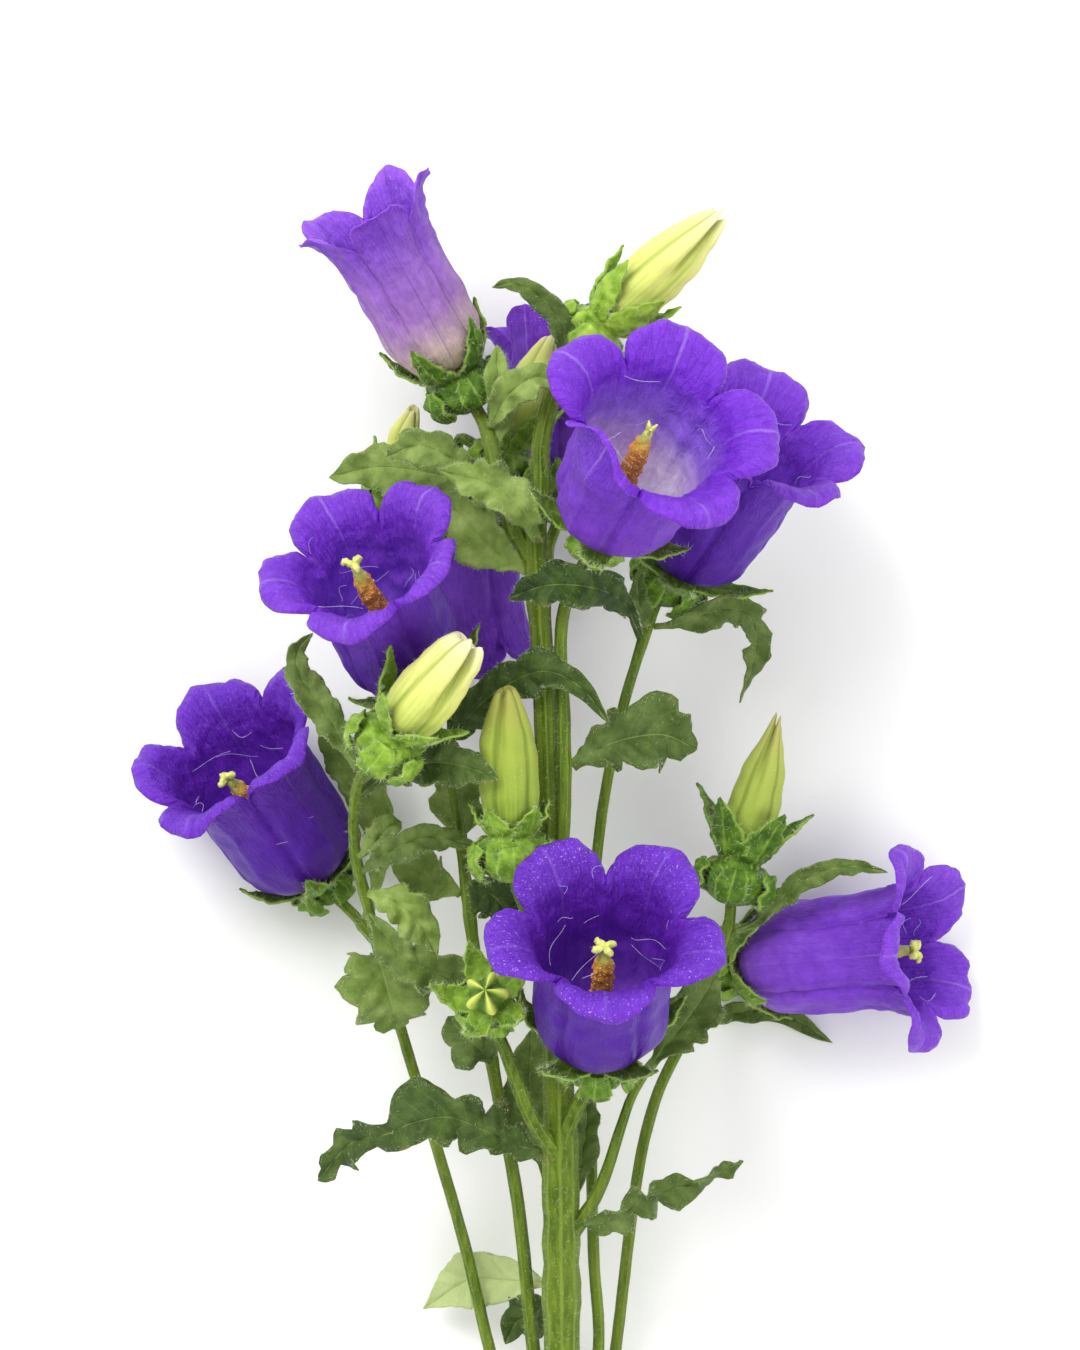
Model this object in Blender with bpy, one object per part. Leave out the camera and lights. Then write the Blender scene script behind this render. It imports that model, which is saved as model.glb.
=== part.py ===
"""A cut, branched stem of Canterbury bells, lying on the flowers of its underside.

Places are millimetres in the lying stem's own frame: X to the right, Y up the
stem, Z above the table. Every flower, bud and leaf is drawn by the same few
functions from its own line of sizes.
"""

import math
import random

import bmesh
import bpy
from mathutils import Matrix, Vector

MM = 0.001

# Driving sizes of the plant, in millimetres.
BELL_LENGTH = 49.0  # from the bell's foot along its wall to a lobe's tip
BELL_NOTCH = 0.8  # share of that length where two lobes part
PETAL_THICK = 0.9
LEAF_THICK = 0.7
SEPAL_THICK = 0.8
SEAT_GAP = 0.32  # what separate pieces keep between them
OVARY_RADIUS = 6.6
OVARY_DEPTH = 9.0
STYLE_LENGTH = 37.0

LOBES = 5
LOBE_STEP = 2 * math.pi / LOBES
LOBE_COLUMNS = (-1.0, -0.8, -0.42, 0.0, 0.42, 0.8)  # 0 is the lobe's middle, -1 its notch
BELL_ROWS = (0.13, 0.27, 0.46, 0.72, 0.88, 1.0)

# The bell's wall leans away from its axis by these degrees at these shares of its length.
BELL_LEAN = (
    (0.0, 90), (0.06, 84), (0.14, 62), (0.24, 28), (0.34, 6), (0.46, 0),
    (0.6, 2), (0.7, 12), (0.78, 30), (0.88, 54), (1.0, 88),
)
BUD_SHAPE = (  # share of the bud's length, share of its radius
    (0.06, 0.68), (0.26, 1.0), (0.58, 0.92), (0.84, 0.66), (0.96, 0.38),
)

BUD_RIPPLE = 0.09
SEPAL_SHAPE = ((0.24, 1.0), (0.62, 0.7))  # share of its length, share of its half width

# foot: where the bell sits on its ovary; along: which way it opens, seen from above;
# rise: degrees that its mouth is lifted off the table; turn: first lobe's place round the axis;
# rolls: how much further than usual each lobe rolls back, the one nearest the eye first.
BELLS = {
    "top_left": dict(foot=(-21.2, 196, 42), along=(-0.44, 0.9), rise=14, turn=5, size=0.99, slim=0.8,
                     flare=0.62),
    "top_back": dict(foot=(0.2, 173.5, 9), along=(-0.03, 1.0), rise=5, turn=40, size=0.88, slim=0.84,
                     flare=0.6),
    "top_front": dict(foot=(9.6, 165.4, 58), along=(0.49, 0.87), rise=52, turn=-25, size=1.06, slim=1.04,
                      flare=1.04),
    "upper_right": dict(foot=(25.2, 156.6, 29), along=(0.5, 0.87), rise=32, turn=45, size=1.02, slim=1.0,
                        flare=0.94),
    "mid_left": dict(foot=(-28.2, 133.2, 42), along=(-0.38, 0.92), rise=43, turn=-26, size=1.0, slim=1.0,
                     flare=0.96, rolls=(1.15, 1, 1, 1, 1)),
    "mid_back": dict(foot=(-20, 169.5, 22.4), along=(0.12, -0.99), rise=-6, turn=10, size=0.9, slim=0.94,
                     flare=0.8),
    "far_left": dict(foot=(-48.2, 95.6, 7.4), along=(-0.62, 0.78), rise=35, turn=12, size=1.0, slim=1.02,
                     flare=0.95),
    "low_front": dict(foot=(7.6, 60.8, 50), along=(0.06, 1.0), rise=46, turn=2, size=1.04, slim=1.0,
                      flare=1.08, rolls=(1.25, 1, 1, 1, 1)),
    "low_right": dict(foot=(36.2, 78.8, 8.9), along=(1.0, 0.0), rise=25, turn=0, size=1.14, slim=0.91,
                      flare=0.94, rolls=(1.3, 0.65, 1.15, 0.85, 1.2)),
}
BUDS = {
    "top_right": dict(foot=(8.6, 205.4, 47), along=(0.73, 0.68), rise=9, length=32, radius=4.6),
    "top_mid": dict(foot=(-10.4, 181, 33), along=(0.36, 0.93), rise=6, length=24, radius=4.4),
    "small_left": dict(foot=(-34.4, 173, 25), along=(0.3, 0.95), rise=8, length=17, radius=3.2),
    "mid_left": dict(foot=(-32.4, 124, 64.4), along=(0.63, 0.78), rise=22, length=24, radius=5.4),
    "mid": dict(foot=(-9.6, 103, 55), along=(-0.05, 1.0), rise=10, length=30, radius=5.5),
    "right": dict(foot=(36, 97.6, 27), along=(0.26, 0.965), rise=6, length=29.5, radius=5.6, taper=0.4),
    "star": dict(foot=(-14.4, 70.6, 59), along=(-0.3, 0.95), rise=70, length=5.5, radius=4.2,
                 ripple=0.28),
}
# A calyx has five sepals: their length, half width, and how far their tips stand off the flower.
# ovary: the size of the green ball under it, as a share of the fullest.
CALYX = dict(length=14.0, half=3.5, stand_off=3.0, ovary=1.0)
CALYX_CHANGES = {
    "bell_top_left": dict(length=14.0, stand_off=0.9),
    "bell_top_back": dict(length=11.0, half=3.0, stand_off=0.4, ovary=0.75),
    "bell_top_front": dict(length=14.0, stand_off=3.5, ovary=0.85),
    "bell_upper_right": dict(length=13.0, half=4.0, stand_off=4.5, ovary=0.95),
    "bell_far_left": dict(length=13.0, half=3.8, stand_off=0.8, ovary=0.8),
    "bell_low_front": dict(length=14.0, stand_off=4.5),
    "bell_low_right": dict(length=14.0, half=4.2, stand_off=1.0, ovary=0.85),
    "bud_top_right": dict(length=13.0, half=3.5, stand_off=2.0, ovary=0.95),
    "bud_top_mid": dict(length=11.0, half=2.8, ovary=0.8),
    "bud_small_left": dict(length=8.0, half=2.2, stand_off=1.5, ovary=0.6),
    "bud_mid_left": dict(length=7.6, half=3.2, stand_off=3.4, ovary=1.0),
    "bud_mid": dict(length=6.5, half=3.4, stand_off=1.4, ovary=1.05),
    "bud_right": dict(length=11.5, half=5.0, stand_off=5.0, ovary=1.0),
    "bud_star": dict(length=5.5, half=3.0, stand_off=5.5, ovary=0.8),
}

# Each stem runs through its points and thins from its first radius to its second.
# One that carries a flower ends inside that flower's ovary.
STEMS = {
    "main": dict(
        through=[(1.2, -88, 4.2), (0.8, -50, 12), (0.4, 0, 26), (0, 40, 35), (-0.8, 70, 42),
                 (-2, 100, 46), (-3, 130, 47.5), (-4.4, 152, 48), (-5, 162, 48), (-3.8, 172, 47),
                 (-3.8, 181, 46), (-1, 192, 46)],
        radii=(4.2, 1.6), sides=8, carries="bud_top_right"),
    "to_top_left": dict(
        through=[(-5, 157, 48), (-9.6, 165, 48), (-12.8, 177, 48), (-14.8, 184.5, 45)],
        radii=(1.9, 1.5), sides=6, carries="bell_top_left"),
    "to_top_mid": dict(
        through=[(-5, 158, 48), (-7, 166, 43), (-10.5, 171, 37)],
        radii=(1.5, 1.1), sides=6, carries="bud_top_mid"),
    "to_top_back": dict(
        through=[(-4.4, 150, 48), (-2.4, 156, 36), (-2.2, 161, 20)],
        radii=(1.7, 1.3), sides=6, carries="bell_top_back"),
    "to_mid_back": dict(
        through=[(-5, 158, 47.5), (-9, 169, 40), (-15, 179, 33), (-20, 182.5, 28)],
        radii=(1.6, 1.3), sides=6, carries="bell_mid_back"),
    "to_small_left": dict(
        through=[(-9, 164.4, 47.4), (-12, 164.6, 42), (-20, 163.6, 39), (-31, 162.4, 34),
                 (-36.6, 163.6, 27)],
        radii=(1.3, 1.0), sides=6, carries="bud_small_left"),
    "beside_main": dict(
        through=[(-1.6, 92, 45), (0.6, 104, 48.5), (0.8, 125, 50), (0.6, 147, 50.5)],
        radii=(1.7, 1.4), sides=6, carries="bell_top_front"),
    "left": dict(
        through=[(0.9, -58, 10.5), (-6, -32, 9), (-14.4, 0, 12.5), (-19.1, 20, 15.6), (-24.5, 39, 20),
                 (-32, 64, 26), (-37.4, 84, 31), (-41.2, 101, 38), (-40.4, 113, 48)],
        radii=(1.5, 1.2), sides=6, carries="bud_mid_left"),
    "to_far_left": dict(
        through=[(-36.6, 81, 30), (-39.4, 84, 21), (-41.4, 86.5, 12)],
        radii=(1.3, 1.2), sides=6, carries="bell_far_left"),
    "inner_left": dict(
        through=[(0.6, -44, 13), (-2.6, -20, 17), (-5.4, 0, 21), (-8.6, 30, 27), (-13.4, 56, 33),
                 (-17.2, 80, 37), (-21, 110, 36), (-24, 122, 36)],
        radii=(1.7, 1.3), sides=6, carries="bell_mid_left"),
    "to_mid_bud": dict(
        through=[(-1, 74, 43), (-5, 84, 49), (-8.6, 92, 53)],
        radii=(1.5, 1.2), sides=6, carries="bud_mid"),
    "to_star": dict(
        through=[(-1, 39, 36), (-6, 47, 44), (-11, 60, 51), (-13.6, 66, 54)],
        radii=(1.9, 1.4), sides=6, carries="bud_star"),
    "to_low_front": dict(
        through=[(-0.4, 40, 36), (3, 48, 40), (6, 53, 43)],
        radii=(2.1, 1.7), sides=6, carries="bell_low_front"),
    "right": dict(
        through=[(1, -70, 8), (6.6, -35, 8), (11.4, 0, 11), (15.6, 34, 17), (19.4, 50, 19), (25, 62, 21),
                 (30, 73, 22), (34, 85, 24)],
        radii=(1.4, 1.3), sides=6, carries="bud_right"),
    "to_low_right": dict(
        through=[(26.4, 65, 21.4), (28, 71, 16), (29.6, 76, 11)],
        radii=(1.5, 1.3), sides=6, carries="bell_low_right"),
    "lower_fork": dict(
        through=[(2, 22, 31), (8, 32, 33), (14, 49.6, 35), (16.6, 54.6, 35.5)],
        radii=(1.7, 1.0), sides=6, carries=None),
    "back_right": dict(
        through=[(0.8, -42, 13.5), (5, -20, 18), (7.8, 0, 21), (6.8, 18, 24), (6.2, 50, 28),
                 (6.2, 80, 31), (8, 104, 33), (12, 126, 34), (17, 143, 33), (19.4, 149.4, 29)],
        radii=(1.4, 1.2), sides=6, carries="bell_upper_right"),
}

# Each leaf runs from its stem through its points. half: half its width; widest: where along it;
# wave: how far its edge ripples; face: which way its upper side looks at the stalk and at the tip;
# neck and tail: how sharply it narrows to the stalk and to the tip; off: more or less room at its root.
LEAVES = {
    "low_left": dict(through=[(-4, 39.6, 35), (-9, 41, 36.6), (-15, 43.6, 38), (-22, 46.4, 39),
                              (-29, 45.4, 39), (-35, 43, 38), (-42, 41, 34), (-48.6, 33.4, 28)], half=5.3,
                     widest=0.42, teeth=7, wave=1.7, tail=1.7),
    "low_right": dict(through=[(4.6, 25, 33), (10, 25.6, 36), (18, 30.4, 38), (28, 33.6, 38),
                               (36.8, 37.6, 36)], half=3.7, widest=0.3, teeth=7, wave=1.5,
                      face=((0, -0.55, 0.8), (0, -0.6, 0.8)), off=-0.2),
    "bottom_left": dict(through=[(-1.6, 12.6, 25.6), (-5, 12.8, 19), (-10, 13, 14), (-18, 13, 9),
                                 (-27.6, 7, 5.8)], half=4.6, widest=0.7, teeth=4, wave=0.8, neck=1.8,
                        off=-0.2),
    "bottom_dark": dict(through=[(-2, 9.6, 23), (-4.6, 6.8, 16), (-8.8, 4.4, 11.6), (-11, 0, 11.2)],
                        half=4.0, widest=0.6, teeth=4, wave=0.4, neck=1.2),
    "by_low_front": dict(through=[(18.2, 57, 36), (22, 61.6, 37), (27, 68, 36.5), (31.4, 75, 34)],
                         half=5.0, widest=0.62, teeth=5, wave=0.9, neck=1.7, off=-1.1),
    "left_hanging": dict(through=[(-36.8, 79, 31), (-35.6, 75.6, 38), (-34, 70, 39.5), (-32.6, 64, 34)],
                         half=8.4, widest=0.5, teeth=5, wave=0.9, face=((0, 0.9, 0.5), (0.1, -0.5, 0.9))),
    "left_inner": dict(through=[(-16.4, 70.4, 38), (-23, 74.6, 45), (-32, 79, 49), (-38.4, 87.4, 47)],
                       half=3.9, widest=0.45, teeth=5, wave=1.0, off=-0.4),
    "left_pale": dict(through=[(-37.2, 90.4, 36), (-33, 89.6, 38), (-28.2, 85.4, 38),
                               (-24.8, 78.4, 35.4)], half=3.7, widest=0.55, teeth=4, wave=0.7),
    "left_upper": dict(through=[(-41.6, 118, 50), (-46.6, 127, 49), (-52, 135, 46), (-52.6, 139.6, 45),
                                (-49.4, 143.4, 44)], half=4.2, widest=0.45, teeth=6, wave=1.0, neck=1.3,
                       off=-1.3),
    "left_behind": dict(through=[(-37.6, 86, 18), (-36.4, 97, 13), (-37.6, 108, 10.6), (-42.4, 117, 11.4),
                                 (-48.4, 123.6, 14)], half=4.6, widest=0.78, teeth=5, wave=0.7, neck=1.5,
                        off=0.3),
    "mid_dark": dict(through=[(-38.6, 111.2, 47), (-33.6, 115.6, 51), (-27, 117.4, 55), (-20, 117, 60),
                              (-12.4, 114.4, 65)], half=4.0, widest=0.58, teeth=5, wave=0.7, neck=1.6,
                     off=0.4),
    "mid_low": dict(through=[(-38.6, 95.6, 37.6), (-34.4, 99.6, 43.6), (-26, 102.6, 46),
                             (-16.6, 101, 45.4)], half=2.7, widest=0.55, teeth=5, wave=0.6),
    "mid_arch": dict(through=[(-21.4, 121.6, 38), (-16, 129, 45), (-10, 133.4, 49), (-3, 135.8, 54.4),
                              (4, 132.6, 58), (9.8, 125.4, 55)], half=4.2, widest=0.3, teeth=5, wave=0.9),
    "mid_right": dict(through=[(3, 116.6, 49.4), (7, 120, 50), (14, 122.4, 48), (21, 123, 45),
                               (27.4, 120, 42)], half=6.0, widest=0.66, teeth=5, wave=1.2, off=0.3),
    "right_arch": dict(through=[(19.8, 143.6, 31.6), (25.6, 145.8, 32), (32, 148, 31), (37.4, 147.4, 29),
                                (39.6, 141, 25), (36.2, 129.4, 21)], half=2.9, widest=0.5, teeth=6,
                       wave=0.7, face=((0, -0.4, 1), (0.75, 0.1, 0.6)), off=0.6),
    "centre_dark": dict(through=[(15.2, 143.6, 36), (14, 147.6, 42), (10.6, 151, 50), (4, 152.8, 57),
                                 (-3, 152.8, 58), (-10.4, 150.2, 54.6)], half=3.8, widest=0.68, teeth=5,
                        wave=0.8, neck=1.6, off=-0.8),
    "upper_mid": dict(through=[(-3.4, 161, 52), (-6.6, 166.4, 57), (-13, 172.4, 58.5), (-24, 175.8, 56)],
                      half=3.9, widest=0.62, teeth=6, wave=1.0, neck=1.3, off=-0.4),
    "upper_behind": dict(through=[(-7, 156, 47), (-13.4, 160, 45.6), (-19, 166, 44), (-24, 171.4, 42.4)],
                         half=4.8, widest=0.55, teeth=5, wave=0.8),
    "upper_left": dict(through=[(-13.4, 175, 51), (-21, 178, 53), (-28, 180.8, 51), (-34.8, 178.6, 46)],
                       half=3.2, widest=0.6, teeth=5, wave=0.7, neck=1.4),
    "upper_left_back": dict(through=[(-12.4, 171, 44), (-18, 173.4, 39.4), (-28, 175.8, 37),
                                     (-37, 176.6, 36), (-46.4, 174.6, 33)], half=5.0, widest=0.55,
                            teeth=5, wave=0.9),
    "top_arch": dict(through=[(-0.6, 196.4, 48), (0.6, 204, 54), (-3.6, 210.2, 56), (-9, 213, 55),
                              (-13.6, 212.4, 52)], half=2.3, widest=0.45, teeth=5, wave=0.5, off=-0.7),
    "top_mid": dict(through=[(-14, 184.4, 47), (-10.4, 190.8, 52.5), (-5, 194.4, 54), (0.4, 193, 53)],
                    half=3.2, widest=0.6, teeth=4, wave=0.6, off=-0.6),
    "top_bract": dict(through=[(-11, 180.6, 44.6), (-11.4, 188, 46.6), (-12.4, 195, 49.6),
                               (-12.6, 201, 48)], half=2.7, widest=0.6, teeth=3, wave=0.4, off=0.4),
    "right_sliver": dict(through=[(35.6, 83.4, 24), (39, 85, 25), (43.6, 89.4, 27), (50, 94.6, 30),
                                  (58, 96.6, 32), (65.8, 95.4, 31.4)], half=2.1, widest=0.5, teeth=6,
                         wave=0.5, neck=1.2, off=-1.0),
    "right_under": dict(through=[(28.6, 67, 19), (33, 66.4, 8), (40, 67.2, 3), (47, 65.6, 2.2),
                                 (55.2, 60.6, 2.6)], half=2.0, widest=0.6, teeth=3, wave=0.2, off=0.2),
    "left_big_behind": dict(through=[(-21.4, 90.6, 36.4), (-25.6, 93.8, 32.6), (-30.4, 96.8, 31),
                                     (-34.8, 99, 30)], half=4.2, widest=0.5, teeth=4, wave=0.7),
    "left_mid": dict(through=[(-39.6, 98.2, 38.6), (-36.6, 102, 41.6), (-34, 104.8, 42),
                              (-31.8, 105.6, 40)], half=2.6, widest=0.6, teeth=4, wave=0.5, neck=1.4,
                     off=0.7),
    "mid_behind": dict(through=[(-20.6, 101.6, 34.6), (-20.2, 105.6, 31), (-20.8, 111, 29.6),
                                (-22, 118, 30)], half=4.8, widest=0.55, teeth=4, wave=0.7),
    "inner_dark": dict(through=[(-17.2, 87.4, 38), (-14.6, 91.2, 42), (-12, 89.4, 43.4),
                                (-10.2, 84.4, 43)], half=3.8, widest=0.55, teeth=3, wave=0.5),
    "inner_low": dict(through=[(-14, 57.4, 35.4), (-16.2, 60.2, 39.8), (-19.4, 63, 40),
                               (-22.4, 66.6, 37.5)], half=4.4, widest=0.55, teeth=4, wave=0.8),
    "centre_low": dict(through=[(-3.8, 34, 30.4), (-5.2, 43, 28), (-6, 53, 28.6), (-5.6, 64, 30.6)],
                       half=5.2, widest=0.6, teeth=5, wave=0.6, neck=1.6, off=0.3),
    "right_low_back": dict(through=[(3.4, 29.4, 31), (4.2, 37, 29.8), (5.4, 46, 31), (5.2, 55, 32.2)],
                           half=2.5, widest=0.5, teeth=4, wave=0.3, off=0.2),
    "under_top_front": dict(through=[(17.4, 145, 35.4), (16, 149, 37.4), (15.6, 152.6, 38),
                                     (16.4, 156.4, 37)], half=1.7, widest=0.5, teeth=2, wave=0.3,
                            off=-1.3),
}

# Colours and finishes: red, green, blue, roughness.
FINISHES = {
    "stem_green": (0.22, 0.36, 0.06, 0.6),
    "leaf_green": (0.07, 0.16, 0.05, 0.55),
    "petal_violet": (0.14, 0.03, 0.52, 0.5),
    "young_petal": (0.32, 0.14, 0.55, 0.5),
    "bud_yellow": (0.62, 0.68, 0.22, 0.5),
    "style_yellow": (0.68, 0.36, 0.08, 0.7),
}


def clear_scene():
    for old in list(bpy.data.objects):
        bpy.data.objects.remove(old)


def material(name):
    """The finish's material, made the first time that it is asked for."""
    if name in bpy.data.materials:
        return bpy.data.materials[name]
    red, green, blue, roughness = FINISHES[name]
    made = bpy.data.materials.new(name)
    made.use_nodes = True
    shader = made.node_tree.nodes["Principled BSDF"]
    shader.inputs["Base Color"].default_value = (red, green, blue, 1)
    shader.inputs["Roughness"].default_value = roughness
    shader.inputs["Metallic"].default_value = 0
    made.diffuse_color = (red, green, blue, 1)
    return made


def mesh_object(name, points, faces, finish, collection=None):
    """An object whose mesh holds these points, given in millimetres."""
    mesh = bpy.data.meshes.new(name)
    mesh.from_pydata([tuple(Vector(p) * MM) for p in points], [], faces)
    shape = bmesh.new()
    shape.from_mesh(mesh)
    bmesh.ops.triangulate(shape, faces=shape.faces)
    bmesh.ops.recalc_face_normals(shape, faces=shape.faces)
    shape.to_mesh(mesh)
    shape.free()
    mesh.materials.append(material(finish))
    mesh.shade_smooth()
    made = bpy.data.objects.new(name, mesh)
    (collection or bpy.context.scene.collection).objects.link(made)
    return made


def thicken(sheet, thickness):
    """Gives a sheet its thickness, half to each side."""
    wall = sheet.modifiers.new("thickness", "SOLIDIFY")
    wall.thickness = thickness * MM
    wall.offset = 0


def baked_mesh(source):
    """The object's mesh with its modifiers applied."""
    bpy.context.view_layer.update()
    graph = bpy.context.evaluated_depsgraph_get()
    return bpy.data.meshes.new_from_object(source.evaluated_get(graph))


def bake(source):
    source.data = baked_mesh(source)
    source.modifiers.clear()


class Path:
    """A smooth line through its points, read by the share of its length."""

    def __init__(self, points):
        self.points = [Vector(p) for p in points]
        steps = [(b - a).length for a, b in zip(self.points, self.points[1:])]
        self.knots = [sum(steps[:i]) for i in range(len(self.points))]
        last = len(self.points) - 1
        self.slopes = []
        for i in range(len(self.points)):
            before, after = max(i - 1, 0), min(i + 1, last)
            rise = self.points[after] - self.points[before]
            self.slopes.append(rise / (self.knots[after] - self.knots[before]))

    def at(self, share):
        place = share * self.knots[-1]
        i = max(k for k in range(len(self.knots) - 1) if self.knots[k] <= place or k == 0)
        span = self.knots[i + 1] - self.knots[i]
        t = (place - self.knots[i]) / span
        return (
            self.points[i] * (1 + 2 * t) * (1 - t) ** 2
            + self.slopes[i] * span * t * (1 - t) ** 2
            + self.points[i + 1] * (3 - 2 * t) * t * t
            + self.slopes[i + 1] * span * (t - 1) * t * t
        )

    def direction(self, share):
        step = 0.01
        return (self.at(min(share + step, 1)) - self.at(max(share - step, 0))).normalized()


def step_table(table, share):
    """The value at this share in a table of (share, value) rows, straight between rows."""
    for (a, low), (b, high) in zip(table, table[1:]):
        if share <= b:
            return low + (high - low) * max(0.0, (share - a) / (b - a))
    return table[-1][1]


def flower_frame(foot, along, rise, turn=0.0):
    """The matrix, in millimetres, of a flower whose own +Z is the way that it opens.

    Its own +X is the side nearest to someone looking down, turned by turn degrees."""
    lift = math.radians(rise)
    flat = Vector((along[0], along[1], 0)).normalized()
    axis = flat * math.cos(lift) + Vector((0, 0, math.sin(lift)))
    near = Vector((0, 0, 1)) - axis * axis.z
    near.normalize()
    turned = Matrix.Rotation(math.radians(turn), 4, "Z")
    frame = Matrix((near, axis.cross(near), axis)).transposed().to_4x4() @ turned
    frame.translation = Vector(foot)
    return frame


def lobe_reach(place):
    """The wall's length at this place in a lobe, as a share of the whole bell's."""
    return BELL_NOTCH + (1 - BELL_NOTCH) * max(0.0, 1 - place**3) ** 0.52


def wall_profile(bell, place, lobe_flare, shares):
    """(height, radius) of the bell's wall at each of these shares of its length."""
    steps = 96
    length = BELL_LENGTH * bell["size"]
    height, radius, heights = 0.0, 0.0, [(0.0, 0.0)]
    for i in range(steps):
        share = (i + 0.5) / steps
        lean = step_table(BELL_LEAN, share)
        if share > BELL_NOTCH - 0.12:
            lean *= bell["flare"] * (1 + (lobe_flare - 1) * (1 - place * place))
        tilt = math.radians(lean)
        height += math.cos(tilt) * length / steps
        radius += math.sin(tilt) * length / steps
        heights.append((height, radius))
    found = []
    for share in shares:
        place_in = min(share, 0.9999) * steps
        low = int(place_in)
        part = place_in - low
        (z0, r0), (z1, r1) = heights[low], heights[low + 1]
        found.append((z0 + (z1 - z0) * part, (r0 + (r1 - r0) * part) * bell["slim"]))
    return found


def lobe_flares(name):
    """How far each of a bell's lobes rolls back, a little different for each."""
    rng = random.Random("lobes of " + name)
    flares = [rng.uniform(0.86, 1.12) for _ in range(LOBES)]
    rolls = BELLS[name].get("rolls", (1,) * LOBES)
    return [flare * roll for flare, roll in zip(flares, rolls)]


def bell_sheet(name, bell):
    """Points and faces of a bell's middle surface, from its foot to the rim of its lobes."""
    flares = lobe_flares(name)
    points, faces = [(0, 0, PETAL_THICK / 2)], []
    for lobe in range(LOBES):
        for place in LOBE_COLUMNS:
            angle = LOBE_STEP * (lobe + place / 2)
            place = abs(place)
            reach = lobe_reach(place)
            shares = [row * reach for row in BELL_ROWS]
            for share, (height, radius) in zip(shares, wall_profile(bell, place, flares[lobe], shares)):
                over = max(0.0, (share - BELL_NOTCH) / (1 - BELL_NOTCH))
                radius += 1.6 * over * place * place
                height += PETAL_THICK / 2
                points.append((radius * math.cos(angle), radius * math.sin(angle), height))
    rows, columns = len(BELL_ROWS), LOBES * len(LOBE_COLUMNS)
    for c in range(columns):
        here, beside = 1 + c * rows, 1 + (c + 1) % columns * rows
        faces.append((0, here, beside))
        for r in range(rows - 1):
            faces.append((here + r, here + r + 1, beside + r + 1, beside + r))
    return points, faces


def turned_shape(rings, sides, ripple=0.0, ripples=LOBES, phase=0.0):
    """A closed shape turned about Z from (height, radius) rings, its ends drawn to points.

    ripple swells and draws in each ring by that share, ripples times round."""
    points, faces = [(0, 0, rings[0][0])], []
    body = rings[1:-1]
    for height, radius in body:
        for s in range(sides):
            angle = 2 * math.pi * s / sides + phase
            r = radius * (1 + ripple * math.cos(ripples * (angle - phase)))
            points.append((r * math.cos(angle), r * math.sin(angle), height))
    points.append((0, 0, rings[-1][0]))
    last = len(points) - 1
    for s in range(sides):
        t = (s + 1) % sides
        faces.append((0, 1 + t, 1 + s))
        faces.append((last, last - sides + s, last - sides + t))
        for r in range(len(body) - 1):
            a, b = 1 + r * sides, 1 + (r + 1) * sides
            faces.append((a + s, a + t, b + t, b + s))
    return points, faces


def bud_rings(bud):
    """(height, radius) of a bud's rings; taper draws in the upper ones."""
    body = []
    for share, size in BUD_SHAPE:
        drawn_in = 1 - bud.get("taper", 0) * max(0, share - 0.2)
        body.append((share * bud["length"], size * drawn_in * bud["radius"]))
    return [(0, 0)] + body + [(bud["length"], 0)]


def style_rings(bell):
    """The style: a thin foot, the pollen sleeve round it, and the stigma's knob."""
    foot = PETAL_THICK + 2 * SEAT_GAP
    top = STYLE_LENGTH * bell["size"]
    body = [(foot + 0.01, 1.1), (0.42 * top, 2.0), (0.76 * top, 1.8), (0.86 * top, 1.0),
            (0.96 * top, 2.1)]
    return [(foot, 0)] + body + [(top, 0)]


def swept_tube(path, radii, sides):
    """Points and faces of a round stem along a path, thinning from one radius to the other."""
    bends = sum(path.direction(i / 20).angle(path.direction((i + 1) / 20)) for i in range(20))
    rings = max(3, round(path.knots[-1] / 40 + bends / 0.21))
    points, faces = [], []
    across = path.direction(0).orthogonal().normalized()
    for ring in range(rings):
        share = ring / (rings - 1)
        ahead = path.direction(share)
        across = (across - ahead * across.dot(ahead)).normalized()
        other = ahead.cross(across)
        radius = radii[0] + (radii[1] - radii[0]) * share
        centre = path.at(share)
        for s in range(sides):
            angle = 2 * math.pi * s / sides
            points.append(centre + (across * math.cos(angle) + other * math.sin(angle)) * radius)
    for ring in range(rings - 1):
        a, b = ring * sides, (ring + 1) * sides
        for s in range(sides):
            t = (s + 1) % sides
            faces.append((a + s, a + t, b + t, b + s))
    faces.append(tuple(reversed(range(sides))))
    faces.append(tuple(range((rings - 1) * sides, rings * sides)))
    return points, faces


def flower_of(key):
    """The sizes of the bell or bud that a name such as bell_far_left means."""
    kind, name = key.split("_", 1)
    return kind, name, (BELLS if kind == "bell" else BUDS)[name]


def stem_path(stem):
    """A stem's path, drawn on into the ovary of the flower that it carries."""
    points = [Vector(p) for p in stem["through"]]
    if stem["carries"]:
        _, _, flower = flower_of(stem["carries"])
        frame = flower_frame(flower["foot"], flower["along"], flower["rise"])
        depth = ovary_size(stem["carries"])[1]
        points.append(frame @ Vector((0, 0, -depth * 0.72)))
    return Path(points)


def calyx_sizes(key):
    return {**CALYX, **CALYX_CHANGES.get(key, {})}


def ovary_size(key):
    """Radius and depth of the green ball under a bell or bud."""
    share = calyx_sizes(key)["ovary"]
    return OVARY_RADIUS * share, OVARY_DEPTH * share


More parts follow.
